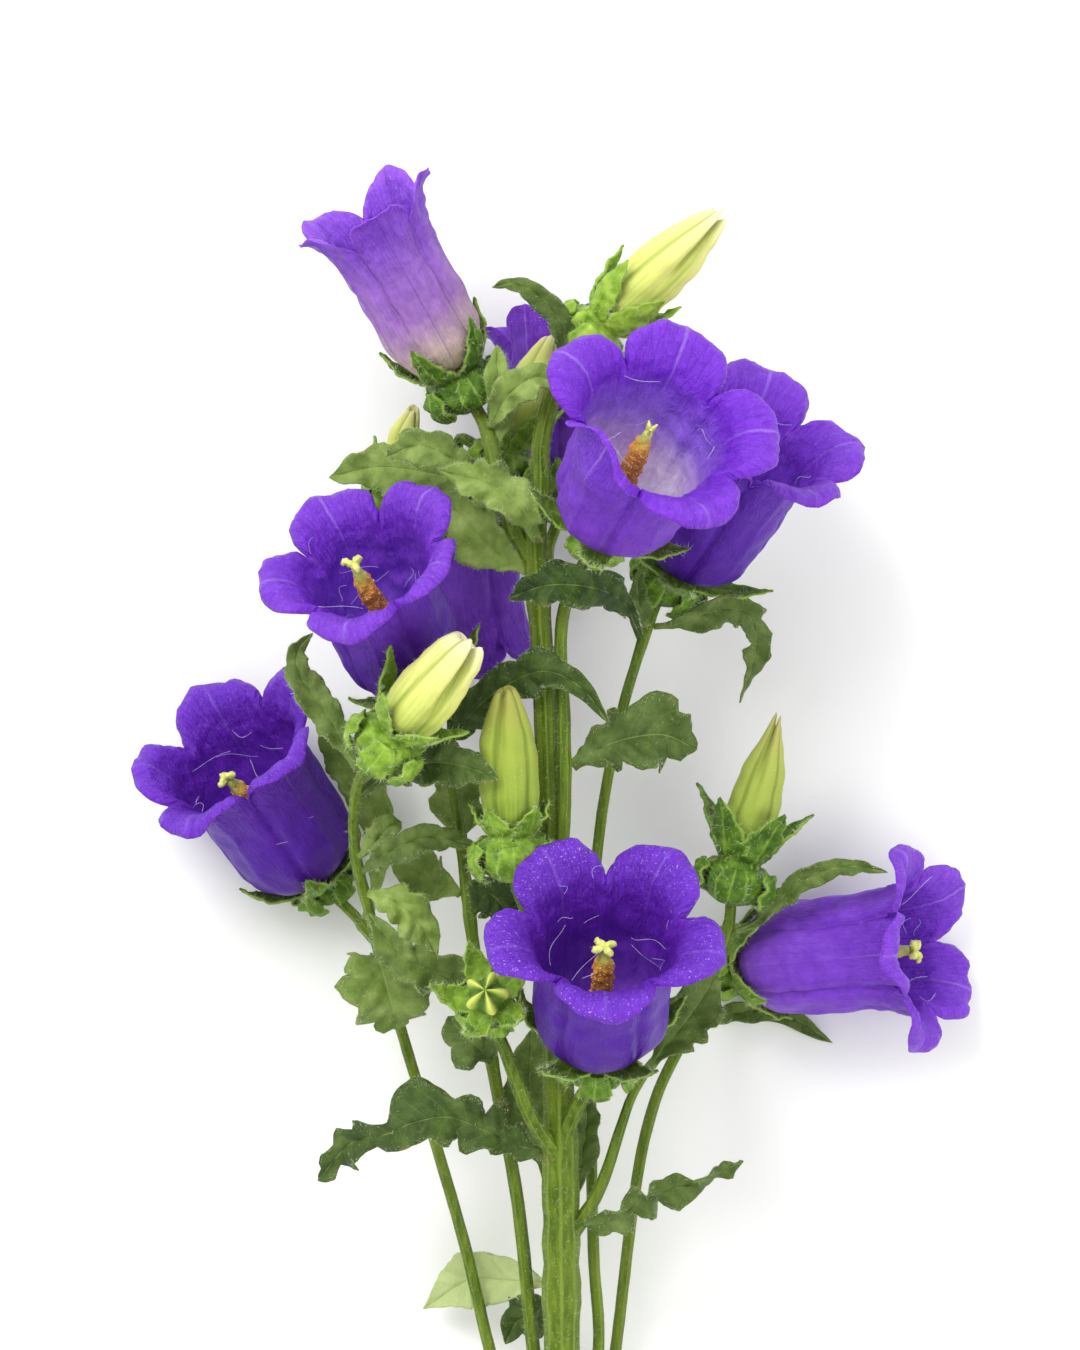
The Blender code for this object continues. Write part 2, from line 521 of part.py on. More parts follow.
def held_wall(key):
    """A function giving (height, radius, lean) of the outside that a calyx has to clear."""
    kind, _, flower = flower_of(key)
    if kind == "bell":
        length = BELL_LENGTH * flower["size"]

        def wall(along):
            shares = [along / length, (along + 0.5) / length]
            (height, radius), (over, wider) = wall_profile(flower, 0, 1, shares)
            return height, radius, math.atan2(wider - radius, over - height)
    else:
        rings = [(z, r * (1 + flower.get("ripple", BUD_RIPPLE))) for z, r in bud_rings(flower)[:-1]]
        walk = [0.0]
        for (z0, r0), (z1, r1) in zip(rings, rings[1:]):
            walk.append(walk[-1] + math.hypot(z1 - z0, r1 - r0))

        def wall(along):
            i = max(k for k in range(len(walk) - 1) if walk[k] <= along or k == 0)
            (z0, r0), (z1, r1) = rings[i], rings[i + 1]
            t = (along - walk[i]) / (walk[i + 1] - walk[i])
            return z0 + (z1 - z0) * t, r0 + (r1 - r0) * t, math.atan2(r1 - r0, z1 - z0)
    return wall


def calyx_shape(key):
    """Points and faces of the green cup under a flower: a bumpy ball whose rim runs out in sepals.

    Every ring has three columns for each sepal: its left side, its middle and its right side."""
    sizes = calyx_sizes(key)
    ball, depth = ovary_size(key)
    wall = held_wall(key)
    clear = SEAT_GAP + SEPAL_THICK / 2 + (PETAL_THICK / 2 if key.startswith("bell") else 0.2)
    root = 0.42  # half a sepal's angle where it leaves the ball

    def ring(height, radius, bulge, half_angle=root):
        placed = []
        for sepal in range(LOBES):
            for side in (-1, 0, 1):
                angle = LOBE_STEP * (sepal + 0.5) + side * half_angle
                r = radius * (1 + bulge * (0.5 - abs(side)))
                placed.append((r * math.cos(angle), r * math.sin(angle), height))
        return placed

    columns = 3 * LOBES
    outer = [ring(-0.9 * depth, 0.6 * ball, 0.1), ring(-0.56 * depth, 1.02 * ball, 0.2),
             ring(-0.2 * depth, 0.98 * ball, 0.1)]
    inner = [ring(-SEAT_GAP, 0.66 * ball, 0.0)]
    for share, width in SEPAL_SHAPE:
        height, radius, lean = wall(0.7 * ball + share * sizes["length"])
        off = clear + sizes["stand_off"] * share**2.2
        for rings, way in ((outer, 1), (inner, -1)):
            away = off + way * SEPAL_THICK / 2
            r = radius + away * math.cos(lean)
            rings.append(ring(height - away * math.sin(lean), r, 0.0, width * sizes["half"] / max(r, 3.0)))
    height, radius, lean = wall(0.7 * ball + sizes["length"])
    off = clear + sizes["stand_off"]
    tip_radius = radius + off * math.cos(lean)
    tips = [(tip_radius * math.cos(a), tip_radius * math.sin(a), height - off * math.sin(lean))
            for a in (LOBE_STEP * (sepal + 0.5) for sepal in range(LOBES))]

    points = [(0, 0, -depth), (0, 0, -SEAT_GAP)]
    for rings in (outer, inner):
        for placed in rings:
            points += placed
    points += tips
    first = {"outer": 2, "inner": 2 + columns * len(outer), "tips": len(points) - LOBES}

    def at(skin, row, column):
        return first[skin] + row * columns + column % columns

    faces = []
    for c in range(columns):
        faces.append((0, at("outer", 0, c + 1), at("outer", 0, c)))
        faces.append((1, at("inner", 0, c), at("inner", 0, c + 1)))
        for row in (0, 1):
            faces.append((at("outer", row, c), at("outer", row, c + 1),
                          at("outer", row + 1, c + 1), at("outer", row + 1, c)))
        if c % 3 == 2:
            faces.append((at("outer", 2, c), at("outer", 2, c + 1),
                          at("inner", 0, c + 1), at("inner", 0, c)))
    for sepal in range(LOBES):
        left, right, tip = 3 * sepal, 3 * sepal + 2, first["tips"] + sepal
        for skin, start in (("outer", 2), ("inner", 0)):
            for c in (left, left + 1):
                for row in range(start, start + len(SEPAL_SHAPE)):
                    faces.append((at(skin, row, c), at(skin, row, c + 1),
                                  at(skin, row + 1, c + 1), at(skin, row + 1, c)))
                last = start + len(SEPAL_SHAPE)
                faces.append((at(skin, last, c), at(skin, last, c + 1), tip))
        for c in (left, right):
            for row in range(len(SEPAL_SHAPE)):
                faces.append((at("outer", 2 + row, c), at("outer", 3 + row, c),
                              at("inner", 1 + row, c), at("inner", row, c)))
            last = len(SEPAL_SHAPE)
            faces.append((at("outer", 2 + last, c), tip, at("inner", last, c)))
    return points, faces


def in_metres(frame):
    made = frame.copy()
    made.translation = frame.translation * MM
    return made


def build_stems(root):
    """The branched stem with every ovary and calyx, joined in one body."""
    workbench = bpy.data.collections.new("stem pieces")
    bpy.context.scene.collection.children.link(workbench)
    for name, stem in STEMS.items():
        points, faces = swept_tube(stem_path(stem), stem["radii"], stem["sides"])
        mesh_object("stalk " + name, points, faces, "stem_green", workbench)
    for key in ["bell_" + name for name in BELLS] + ["bud_" + name for name in BUDS]:
        points, faces = calyx_shape(key)
        cup = mesh_object("calyx " + key, points, faces, "stem_green", workbench)
        _, _, flower = flower_of(key)
        turn = flower.get("turn", 0)
        cup.data.transform(in_metres(flower_frame(flower["foot"], flower["along"], flower["rise"], turn)))
    trunk = workbench.objects["stalk main"]
    workbench.objects.unlink(trunk)
    bpy.context.scene.collection.objects.link(trunk)
    join = trunk.modifiers.new("join", "BOOLEAN")
    join.operation = "UNION"
    join.solver = "MANIFOLD"
    join.operand_type = "COLLECTION"
    join.collection = workbench
    bake(trunk)
    for piece in list(workbench.objects):
        bpy.data.objects.remove(piece)
    bpy.data.collections.remove(workbench)
    trunk.name = "branched_stem"
    trunk.parent = root
    press_on_table(trunk)


def press_on_table(thing):
    """Flattens what would reach below the table, as a soft petal does."""
    bake(thing)
    world = thing.matrix_world
    back = world.inverted()
    for vertex in thing.data.vertices:
        place = world @ vertex.co
        if place.z < 0:
            vertex.co = back @ Vector((place.x, place.y, 0))


def build_bell(name, bell, root):
    """A bell and the style inside it, under one empty at the bell's foot."""
    holder = bpy.data.objects.new("bell_" + name, None)
    bpy.context.scene.collection.objects.link(holder)
    holder.parent = root
    holder.matrix_world = in_metres(flower_frame(bell["foot"], bell["along"], bell["rise"], bell["turn"]))
    finish = "young_petal" if name == "top_left" else "petal_violet"
    points, faces = bell_sheet(name, bell)
    corolla = mesh_object("corolla_" + name, points, faces, finish)
    corolla.parent = holder
    thicken(corolla, PETAL_THICK)
    points, faces = turned_shape(style_rings(bell), 6, ripple=0.18, ripples=3)
    style = mesh_object("style_" + name, points, faces, "style_yellow")
    style.parent = holder
    bpy.context.view_layer.update()
    if bell["foot"][2] < 20:
        press_on_table(corolla)


def build_bud(name, bud, root):
    points, faces = turned_shape(bud_rings(bud), 10, ripple=bud.get("ripple", BUD_RIPPLE))
    made = mesh_object("bud_" + name, points, faces, "bud_yellow")
    made.parent = root
    made.matrix_world = in_metres(flower_frame(bud["foot"], bud["along"], bud["rise"]))


def nearest_stem(point):
    """The place on the nearest stem's middle line, and the stem's radius there."""
    best = None
    for stem in STEMS.values():
        path = stem_path(stem)
        for i in range(101):
            share = i / 100
            place = path.at(share)
            radius = stem["radii"][0] + (stem["radii"][1] - stem["radii"][0]) * share
            gap = (place - point).length - radius
            if best is None or gap < best[0]:
                best = (gap, place, radius)
    return best[1], best[2]


def leaf_path(leaf):
    """The leaf's midrib, its first point brought up to the skin of the stem that bears it."""
    points = [Vector(p) for p in leaf["through"]]
    middle, radius = nearest_stem(points[0])
    outward = (points[0] - middle).normalized()
    points[0] = middle + outward * (radius + SEAT_GAP + LEAF_THICK / 2 + leaf.get("off", 0))
    return Path(points)


def leaf_half_width(leaf, share):
    """Half the blade's width at this share of its length, without its teeth."""
    widest = leaf["widest"]
    if share < widest:
        swell = math.sin(math.pi / 2 * share / widest) ** leaf.get("neck", 0.9)
    else:
        swell = math.cos(math.pi / 2 * (share - widest) / (1 - widest)) ** leaf.get("tail", 0.85)
    return leaf["half"] * max(swell, 0.2 * (1 - share))


def leaf_point(leaf, path, share, side, phase):
    """A point of the blade: share along the midrib, side from -1 to 1 across."""
    start, end = (Vector(f) for f in leaf.get("face", ((0, 0, 1), (0, 0, 1))))
    ahead = path.direction(share)
    up = start.lerp(end, share)
    up = (up - ahead * up.dot(ahead)).normalized()
    right = ahead.cross(up)
    tooth = 1 + 0.17 * (2 * abs(math.sin(math.pi * leaf["teeth"] * share)) - 1) * abs(side) ** 3
    width = leaf_half_width(leaf, share) * tooth
    ripple = math.sin(2 * math.pi * (leaf["teeth"] / 2 * share + phase + (0.37 if side > 0 else 0)))
    lift = abs(side) * width * 0.16 + leaf["wave"] * ripple * side * side * math.sin(math.pi * share)
    return path.at(share) + right * side * width + up * lift


def build_leaf(name, leaf, root):
    path = leaf_path(leaf)
    phase = random.Random("ripple of " + name).random()
    rows = leaf["teeth"] * 2
    sides = (-1, 0, 1)
    base = path.at(0)
    points, faces = [], []
    for row in range(rows):
        for side in sides:
            points.append(leaf_point(leaf, path, row / rows, side, phase) - base)
    points.append(path.at(1) - base)
    across = len(sides)
    for row in range(rows - 1):
        a, b = row * across, (row + 1) * across
        for s in range(across - 1):
            faces.append((a + s, a + s + 1, b + s + 1, b + s))
    a, tip = (rows - 1) * across, rows * across
    for s in range(across - 1):
        faces.append((a + s, a + s + 1, tip))
    made = mesh_object("leaf_" + name, points, faces, "leaf_green")
    thicken(made, LEAF_THICK)
    made.parent = root
    made.location = base * MM


def centre_on_table(root):
    """Moves the whole so that its box stands on Z = 0 with its middle over the origin."""
    bpy.context.view_layer.update()
    graph = bpy.context.evaluated_depsgraph_get()
    corners = []
    for thing in bpy.data.objects:
        if thing.type == "MESH":
            seen = thing.evaluated_get(graph)
            corners += [seen.matrix_world @ vertex.co for vertex in seen.data.vertices]
    low = Vector([min(c[i] for c in corners) for i in range(3)])
    high = Vector([max(c[i] for c in corners) for i in range(3)])
    root.location = (-(low.x + high.x) / 2, -(low.y + high.y) / 2, -low.z)


def main():
    clear_scene()
    root = bpy.data.objects.new("flower_stem", None)
    bpy.context.scene.collection.objects.link(root)
    build_stems(root)
    for name, bell in BELLS.items():
        build_bell(name, bell, root)
    for name, bud in BUDS.items():
        build_bud(name, bud, root)
    for name, leaf in LEAVES.items():
        build_leaf(name, leaf, root)
    centre_on_table(root)


main()
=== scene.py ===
import math
import random

import bmesh
import bpy
import numpy as np
from mathutils import Matrix, Vector, noise


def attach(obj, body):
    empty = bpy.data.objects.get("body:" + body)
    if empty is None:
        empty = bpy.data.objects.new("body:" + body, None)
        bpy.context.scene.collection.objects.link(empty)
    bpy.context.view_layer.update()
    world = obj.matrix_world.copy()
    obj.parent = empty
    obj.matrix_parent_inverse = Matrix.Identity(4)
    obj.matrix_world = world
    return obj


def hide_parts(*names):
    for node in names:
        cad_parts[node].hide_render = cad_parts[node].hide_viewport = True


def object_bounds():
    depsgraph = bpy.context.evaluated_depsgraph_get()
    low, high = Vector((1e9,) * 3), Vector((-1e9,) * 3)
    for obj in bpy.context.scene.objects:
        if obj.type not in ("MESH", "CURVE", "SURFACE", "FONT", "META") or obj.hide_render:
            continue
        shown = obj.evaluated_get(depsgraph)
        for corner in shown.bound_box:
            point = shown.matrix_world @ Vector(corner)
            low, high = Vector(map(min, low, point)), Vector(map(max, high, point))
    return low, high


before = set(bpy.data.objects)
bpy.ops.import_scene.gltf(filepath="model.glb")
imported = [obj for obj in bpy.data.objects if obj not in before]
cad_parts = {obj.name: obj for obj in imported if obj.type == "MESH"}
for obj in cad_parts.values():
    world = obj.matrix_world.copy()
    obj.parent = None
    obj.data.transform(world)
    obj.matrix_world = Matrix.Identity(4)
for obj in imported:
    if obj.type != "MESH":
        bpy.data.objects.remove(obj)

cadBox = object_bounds()  # the CAD model's own box
mm = 0.001
partShift = Vector((1.227, -74.352, 0))  # from the lying stem's own millimetres to the part's
floorHeight = 0.00002  # metres above the table: nothing of the plant lies lower
eased = {"interpolation_type": "SMOOTHSTEP"}  # for a range that starts and ends softly
inColour = {"out": 2, "data_type": "RGBA"}  # for a mix of colours: 0 the share, 6 and 7 the colours


def hexColour(code):  # sRGB hex to the linear colour that Blender mixes in
    channels = [int(code[i:i + 2], 16) / 255 for i in (1, 3, 5)]
    linear = [c / 12.92 if c <= 0.04045 else ((c + 0.055) / 1.055) ** 2.4 for c in channels]
    return (*linear, 1)


def setInput(socket, value):  # a colour is given as its hex code
    socket.default_value = hexColour(value) if str(value)[:1] == "#" else value


def addNode(tree, kind, inputs=(), out=0, stops=(), **settings):
    # A node with its settings, its values and links (in order or by name) and its ramp's colours.
    # It gives back one of the node's outputs, ready to be linked on.
    node = tree.nodes.new(kind)
    for key, value in settings.items():
        setattr(node, key, value)
    for key, value in inputs.items() if isinstance(inputs, dict) else enumerate(inputs):
        if isinstance(value, bpy.types.NodeSocket):
            tree.links.new(value, node.inputs[key])
        else:
            setInput(node.inputs[key], value)
    if stops:
        marks = node.color_ramp.elements
        while len(marks) < len(stops):
            marks.new(0.5)
        for mark, (place, code) in zip(marks, stops):
            mark.position, mark.color = place, hexColour(code)
    return node.outputs[out] if node.outputs else node


def newMaterial(name, fixed):  # a Principled material and what its tree is built from
    made = bpy.data.materials.new(name)
    made.use_nodes = True
    shader = made.node_tree.nodes["Principled BSDF"]
    for key, value in fixed.items():
        setInput(shader.inputs[key], value)
    return made, made.node_tree, shader


def newObject(name, data):  # an object at the origin, in the scene
    made = bpy.data.objects.new(name, data)
    bpy.context.scene.collection.objects.link(made)
    return made


def fullTurn(sides):  # the angles of this many sides round an axis
    return np.linspace(0, 2 * math.pi, sides, endpoint=False)


def stacked(*layers):  # rows, columns and single values, stretched to one grid and made its points
    return np.stack(np.broadcast_arrays(*layers), -1)


def noiseOver(grid, scale, start=Vector()):  # soft noise at each point of a grid
    values = [noise.noise(Vector(p) * scale + start) for p in grid.reshape(-1, 3)]
    return np.array(values).reshape(grid.shape[:-1])


def ringFaces(rows, sides):  # the faces of a closed tube of rings
    index = np.arange(rows * sides).reshape(rows, sides)
    right = np.roll(index, -1, 1)
    return np.stack([index[:-1], right[:-1], right[1:], index[1:]], -1).reshape(-1, 4)


def solidSheet(grid, thick, place, closed=False):
    # A sheet of points (rows, columns, 3) given a wall: upper skin, under skin and a rim.
    # The upper skin faces across x along. A row drawn to one point becomes a pole.
    rows, columns = grid.shape[:2]
    if closed:
        across = np.roll(grid, -1, 1) - np.roll(grid, 1, 1)
    else:
        across = np.gradient(grid, axis=1)
    normal = np.cross(across, np.gradient(grid, axis=0))
    size = np.linalg.norm(normal, axis=2, keepdims=True)
    normal /= np.maximum(size, 1e-12)
    flat = (size[..., 0] < 1e-7).any(axis=1)
    for row in np.nonzero(flat)[0]:
        beside = row + 1 if row + 1 < rows and not flat[row + 1] else row - 1
        mean = normal[beside].mean(axis=0)
        normal[row] = mean / max(np.linalg.norm(mean), 1e-9)
    half = np.broadcast_to(np.asarray(thick, float), (rows, columns))[..., None] / 2
    points = np.concatenate([(grid + normal * half).reshape(-1, 3), (grid - normal * half).reshape(-1, 3)])
    skin = np.repeat([1.0, 0.0], rows * columns)
    index = np.arange(rows * columns).reshape(rows, columns)
    right = np.roll(index, -1, 1) if closed else index[:, 1:]
    left = index if closed else index[:, :-1]
    quads = np.stack([left[:-1], right[:-1], right[1:], left[1:]], axis=-1).reshape(-1, 4)
    under = quads[:, ::-1] + rows * columns
    edges = [np.stack([right[-1], left[-1]], -1)]
    if not (closed and flat[0]):
        edges.append(np.stack([left[0], right[0]], -1))
    if not closed:
        edges.append(np.stack([index[1:, 0], index[:-1, 0]], -1))
        edges.append(np.stack([index[:-1, -1], index[1:, -1]], -1))
    edges = np.concatenate(edges)
    rim = np.stack([edges[:, 1], edges[:, 0], edges[:, 0] + rows * columns,
                    edges[:, 1] + rows * columns], axis=-1)
    faces = np.concatenate([quads, under, rim])
    place = np.concatenate([place.reshape(-1, 3)] * 2)
    return points, faces, place, skin


def heaped(parts):  # several solid sheets as one list of points and faces
    start = 0
    faces = []
    for points, own, _, _ in parts:
        faces.append(own + start)
        start += len(points)
    return (np.concatenate([p[0] for p in parts]), np.concatenate(faces),
            np.concatenate([p[2] for p in parts]), np.concatenate([p[3] for p in parts]))


def meshPiece(name, shape, material, extra=None, seat=False):
    # A plain mesh at its own place in the part. seat presses what would dip into the table flat on it.
    points, faces, place, skin = shape
    points = (points + np.array(partShift)) * mm
    if seat:
        points[:, 2] = np.maximum(points[:, 2], floorHeight)
    mesh = bpy.data.meshes.new(name)
    mesh.from_pydata(points.tolist(), [], faces.tolist())
    layer = mesh.attributes.new("place", "FLOAT_VECTOR", "POINT")
    layer.data.foreach_set("vector", place.astype(np.float32).ravel())
    for key, values in {"skin": skin, **(extra or {})}.items():
        layer = mesh.attributes.new(key, "FLOAT", "POINT")
        layer.data.foreach_set("value", values.astype(np.float32))
    merged = bmesh.new()
    merged.from_mesh(mesh)
    bmesh.ops.remove_doubles(merged, verts=merged.verts, dist=2e-6)
    bmesh.ops.dissolve_degenerate(merged, edges=merged.edges, dist=1e-6)
    merged.to_mesh(mesh)
    merged.free()
    mesh.shade_smooth()
    mesh.materials.append(material)
    return newObject(name, mesh)


def settle(piece, slotName, *nodes):  # the piece rides on the plant and stands for its CAD nodes
    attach(piece, "root")
    if nodes:
        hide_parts(*nodes)
    return piece


def grown(piece, tree, values):
    # Runs a geometry tree on the piece and keeps its result as a plain mesh.
    grow = piece.modifiers.new("grow", "NODES")
    grow.node_group = tree
    for item in tree.interface.items_tree:
        if item.in_out == "INPUT" and item.name in values:
            grow[item.identifier] = values[item.name]
    bpy.context.view_layer.update()
    seen = piece.evaluated_get(bpy.context.evaluated_depsgraph_get())
    mesh = bpy.data.meshes.new_from_object(seen)
    mesh.name = piece.name
    piece.modifiers.clear()
    if piece.type == "MESH":
        piece.data = mesh
        return piece
    name = piece.name
    bpy.data.objects.remove(piece)
    return newObject(name, mesh)


def treeInputs(name, inputs):  # an empty geometry tree with named inputs
    tree = bpy.data.node_groups.new(name, "GeometryNodeTree")
    tree.is_modifier = True
    tree.interface.new_socket("Geometry", in_out="INPUT", socket_type="NodeSocketGeometry")
    for label, kind in inputs:
        tree.interface.new_socket(label, in_out="INPUT", socket_type=kind)
    tree.interface.new_socket("Geometry", in_out="OUTPUT", socket_type="NodeSocketGeometry")
    return tree, addNode(tree, "NodeGroupInput").node.outputs


def lookUp(table, share):  # the value at this share, straight between the table's rows
    return np.interp(share, [row[0] for row in table], [row[1] for row in table])


def softStep(low, high, value):
    t = np.clip((value - low) / (high - low), 0, 1)
    return t * t * (3 - 2 * t)


class StemLine:  # a smooth line through its points, read by the share of its length
    def __init__(self, points):
        self.points = [Vector(p) for p in points]
        steps = [(b - a).length for a, b in zip(self.points, self.points[1:])]
        self.knots = [sum(steps[:i]) for i in range(len(self.points))]
        last = len(self.points) - 1
        self.slopes = []
        for i in range(len(self.points)):
            before, after = max(i - 1, 0), min(i + 1, last)
            rise = self.points[after] - self.points[before]
            self.slopes.append(rise / (self.knots[after] - self.knots[before]))

    def at(self, share):
        place = share * self.knots[-1]
        i = max(k for k in range(len(self.knots) - 1) if self.knots[k] <= place or k == 0)
        span = self.knots[i + 1] - self.knots[i]
        t = (place - self.knots[i]) / span
        return (self.points[i] * (1 + 2 * t) * (1 - t) ** 2
                + self.slopes[i] * span * t * (1 - t) ** 2
                + self.points[i + 1] * (3 - 2 * t) * t * t
                + self.slopes[i + 1] * span * (t - 1) * t * t)

    def direction(self, share):
        return (self.at(min(share + 0.01, 1)) - self.at(max(share - 0.01, 0))).normalized()


def flowerFrame(flower, turned=True):
    # The matrix, in millimetres, of a flower: its +Z is the way that it opens,
    # its +X the side nearest to someone looking down, turned by turn degrees.
    lift = math.radians(flower["rise"])
    flat = Vector((flower["along"][0], flower["along"][1], 0)).normalized()
    axis = flat * math.cos(lift) + Vector((0, 0, math.sin(lift)))
    near = Vector((0, 0, 1)) - axis * axis.z
    near.normalize()
    turn = Matrix.Rotation(math.radians(flower.get("turn", 0) if turned else 0), 4, "Z")
    made = Matrix((near, axis.cross(near), axis)).transposed().to_4x4() @ turn
    made.translation = Vector(flower["foot"])
    return made


def carried(matrix, points):  # points of a flower's own frame, put where the flower is
    turn = np.array(matrix.to_3x3())
    return points @ turn.T + np.array(matrix.translation)


# foot: where a bell sits; along: which way it opens, seen from above; rise: degrees off the table;
# turn: degrees round its own axis; size: its length, 1 is usual; slim: its width beside its length;
# flare: how far its lobes bend out; rolls: the same for each lobe, first the one nearest to the viewer;
# pouch: how far that one bulges; wave: how wavy its lobes' edges are; roundness and rimRoll: in place
# of the usual ones in petalSizes.
bells = {
    "top_left": dict(foot=(-21.2, 196, 42), along=(-0.49, 0.87), rise=14, turn=5, size=1.01, slim=0.8,
                     flare=0.62, roundness=1.7, rimRoll=16),
    "top_back": dict(foot=(0.0, 172.2, 13.5), along=(-0.03, 1.0), rise=1, turn=37, size=0.9, slim=0.86,
                     flare=0.3, rolls=(0.5, 0.6, 0.8, 3.4, 0.2), roundness=2.6, rimRoll=6, wave=0.2),
    "top_front": dict(foot=(8.9, 165.4, 58), along=(0.49, 0.87), rise=52, turn=-25, size=1.07, slim=1.07,
                      flare=1.04, rolls=(0.22, 1.1, 1, 0.97, 1.0), pouch=3.0),
    "upper_right": dict(foot=(23.8, 156.8, 28.4), along=(0.53, 0.85), rise=31, turn=50, size=1.08, slim=0.98,
                        flare=0.94, rolls=(1, 0.86, 1.05, 1, 1)),
    "mid_left": dict(foot=(-29.0, 134.2, 42), along=(-0.39, 0.92), rise=43, turn=-26, size=1.05, slim=0.96,
                     flare=0.96, rolls=(1.0, 0.85, 1, 1, 1.05), roundness=2.1),
    "mid_back": dict(foot=(-20, 169.5, 22.4), along=(0.12, -0.99), rise=-6, turn=10, size=0.9, slim=0.94,
                     flare=0.8),
    "far_left": dict(foot=(-49.4, 95.2, 7.4), along=(-0.57, 0.82), rise=31, turn=27, size=1.01, slim=1.08,
                     flare=0.64, rolls=(1.15, 1.0, 0.85, 0.72, 1.6), roundness=2.1),
    "low_front": dict(foot=(7.6, 60.8, 50), along=(0.06, 1.0), rise=46, turn=2, size=1.02, slim=1.1,
                      flare=0.88, rolls=(1.1, 1.15, 0.85, 0.85, 1.15)),
    "low_right": dict(foot=(36.7, 77.1, 8.9), along=(1.0, 0.09), rise=20, turn=3, size=1.15, slim=0.84,
                      flare=0.8, rolls=(1.35, 1.35, 0.8, 0.75, 1.5)),
}

# Petal of a bellflower, living: soft cells like tiny domes scatter light, so it is silky, not shiny.
# Pigment lies in the skin, thin at the foot and along the middle vein, which shows there as pale streaks.
# The inside colours near the foot are set paler still, as painted light that shines through the wall into
# the shaded throat, and the lighter rim colour inside the lobes is partly a painted highlight.
petalLooks = {
    "deep": dict(footIn="#9A62D8", wallIn="#7838C2", lobeIn="#5E20A6", rimIn="#7034C2", footOut="#4A1486",
                 wallOut="#521A9C", lobeOut="#6226A8", vein="#9270D4", veinLook=0.4),
    # bright: its near-white inside foot is partly the throat's own pale colour and partly painted light that
    # shines through the wall
    "bright": dict(footIn="#FFF6FF", wallIn="#A880E8", lobeIn="#742EC6", rimIn="#7E3AD0", footOut="#7638B6",
                   wallOut="#763ABE", lobeOut="#783AC8", vein="#B898EA", veinLook=0.4),
    "soft": dict(footIn="#BE92F2", wallIn="#9054DC", lobeIn="#7232C0", rimIn="#7E40CC", footOut="#4E1A92",
                 wallOut="#56209E", lobeOut="#7036BC", vein="#AE90E2", veinLook=0.42),
    "light": dict(footIn="#A476DA", wallIn="#8044CC", lobeIn="#7A3ACA", rimIn="#8244D0", footOut="#8650C8",
                  wallOut="#7C40C6", lobeOut="#7A3CC6", vein="#B294E4", veinLook=0.42),
    "young": dict(footIn="#C2A4CC", wallIn="#8A5CBE", lobeIn="#864CCE", rimIn="#965CE0", footOut="#CEC09C",
                  wallOut="#A277B9", lobeOut="#8950CD", vein="#4A2E80", veinLook=0.6, wallVein="#E8E8E8"),
}
# the glinting set: the deep colours with more painted highlight specks on the lobes and its own darker inside
# colours
petalLooks["glinting"] = {**petalLooks["deep"], "paintedGlints": 0.6, "footIn": "#8850C8", "wallIn": "#6A2CB2"}
# Which colour set each bell wears: partly each bell's own tone, partly painted light and shade. The soft
# set's darker outside walls are painted shade for upper_right, which lies under top_front; the light set is
# painted light for mid_back, lying in shade; the bright set gives top_front a near-white throat, painted
# light that shines through its wall.
bellLook = {"top_left": "young", "top_front": "bright", "upper_right": "soft", "mid_left": "soft",
            "low_front": "glinting", "low_right": "light", "mid_back": "light", "top_back": "light"}
petalSizes = dict(
    length=49.0,  # from the foot along the wall to a lobe's tip
    notch=0.805,  # share of that length where two lobes part
    bendFrom=0.68,  # share of it from which a bell's own flare counts
    roundness=2.3,  # 2 makes a lobe's outline an oval, more makes it squarer
    rimRoll=58,  # degrees that the rim rolls on over its last part
    wall=0.55,  # thickness of the petal in its wall
    rim=0.26,  # and at the rim of a lobe
    around=32,  # columns of faces in each lobe
    rows=62,
    lift=0.45,  # from the bell's foot to where its wall starts
    splay=1.2,  # how much wider a lobe's sides stand than its middle
    grooveDepth=1.0,  # how far the wall is drawn in below each notch
    grooveWidth=0.16,  # as a share of half a lobe
    ribHeight=0.42,  # how far the middle vein of each lobe stands out
    ribWidth=0.09,
    rimWave=0.9,  # how far the lobes' edges wave
    nibble=0.35,  # how uneven the rim is
    crinkle=0.42,  # depth of the dents and puckers
)
bellLean = (  # degrees that the wall leans away from the bell's axis, by share of its length
    (0.0, 90), (0.06, 84), (0.14, 62), (0.24, 28), (0.34, 6), (0.46, 0),
    (0.6, 2), (0.7, 10), (0.78, 26), (0.87, 56), (0.94, 84), (1.0, 102),
)


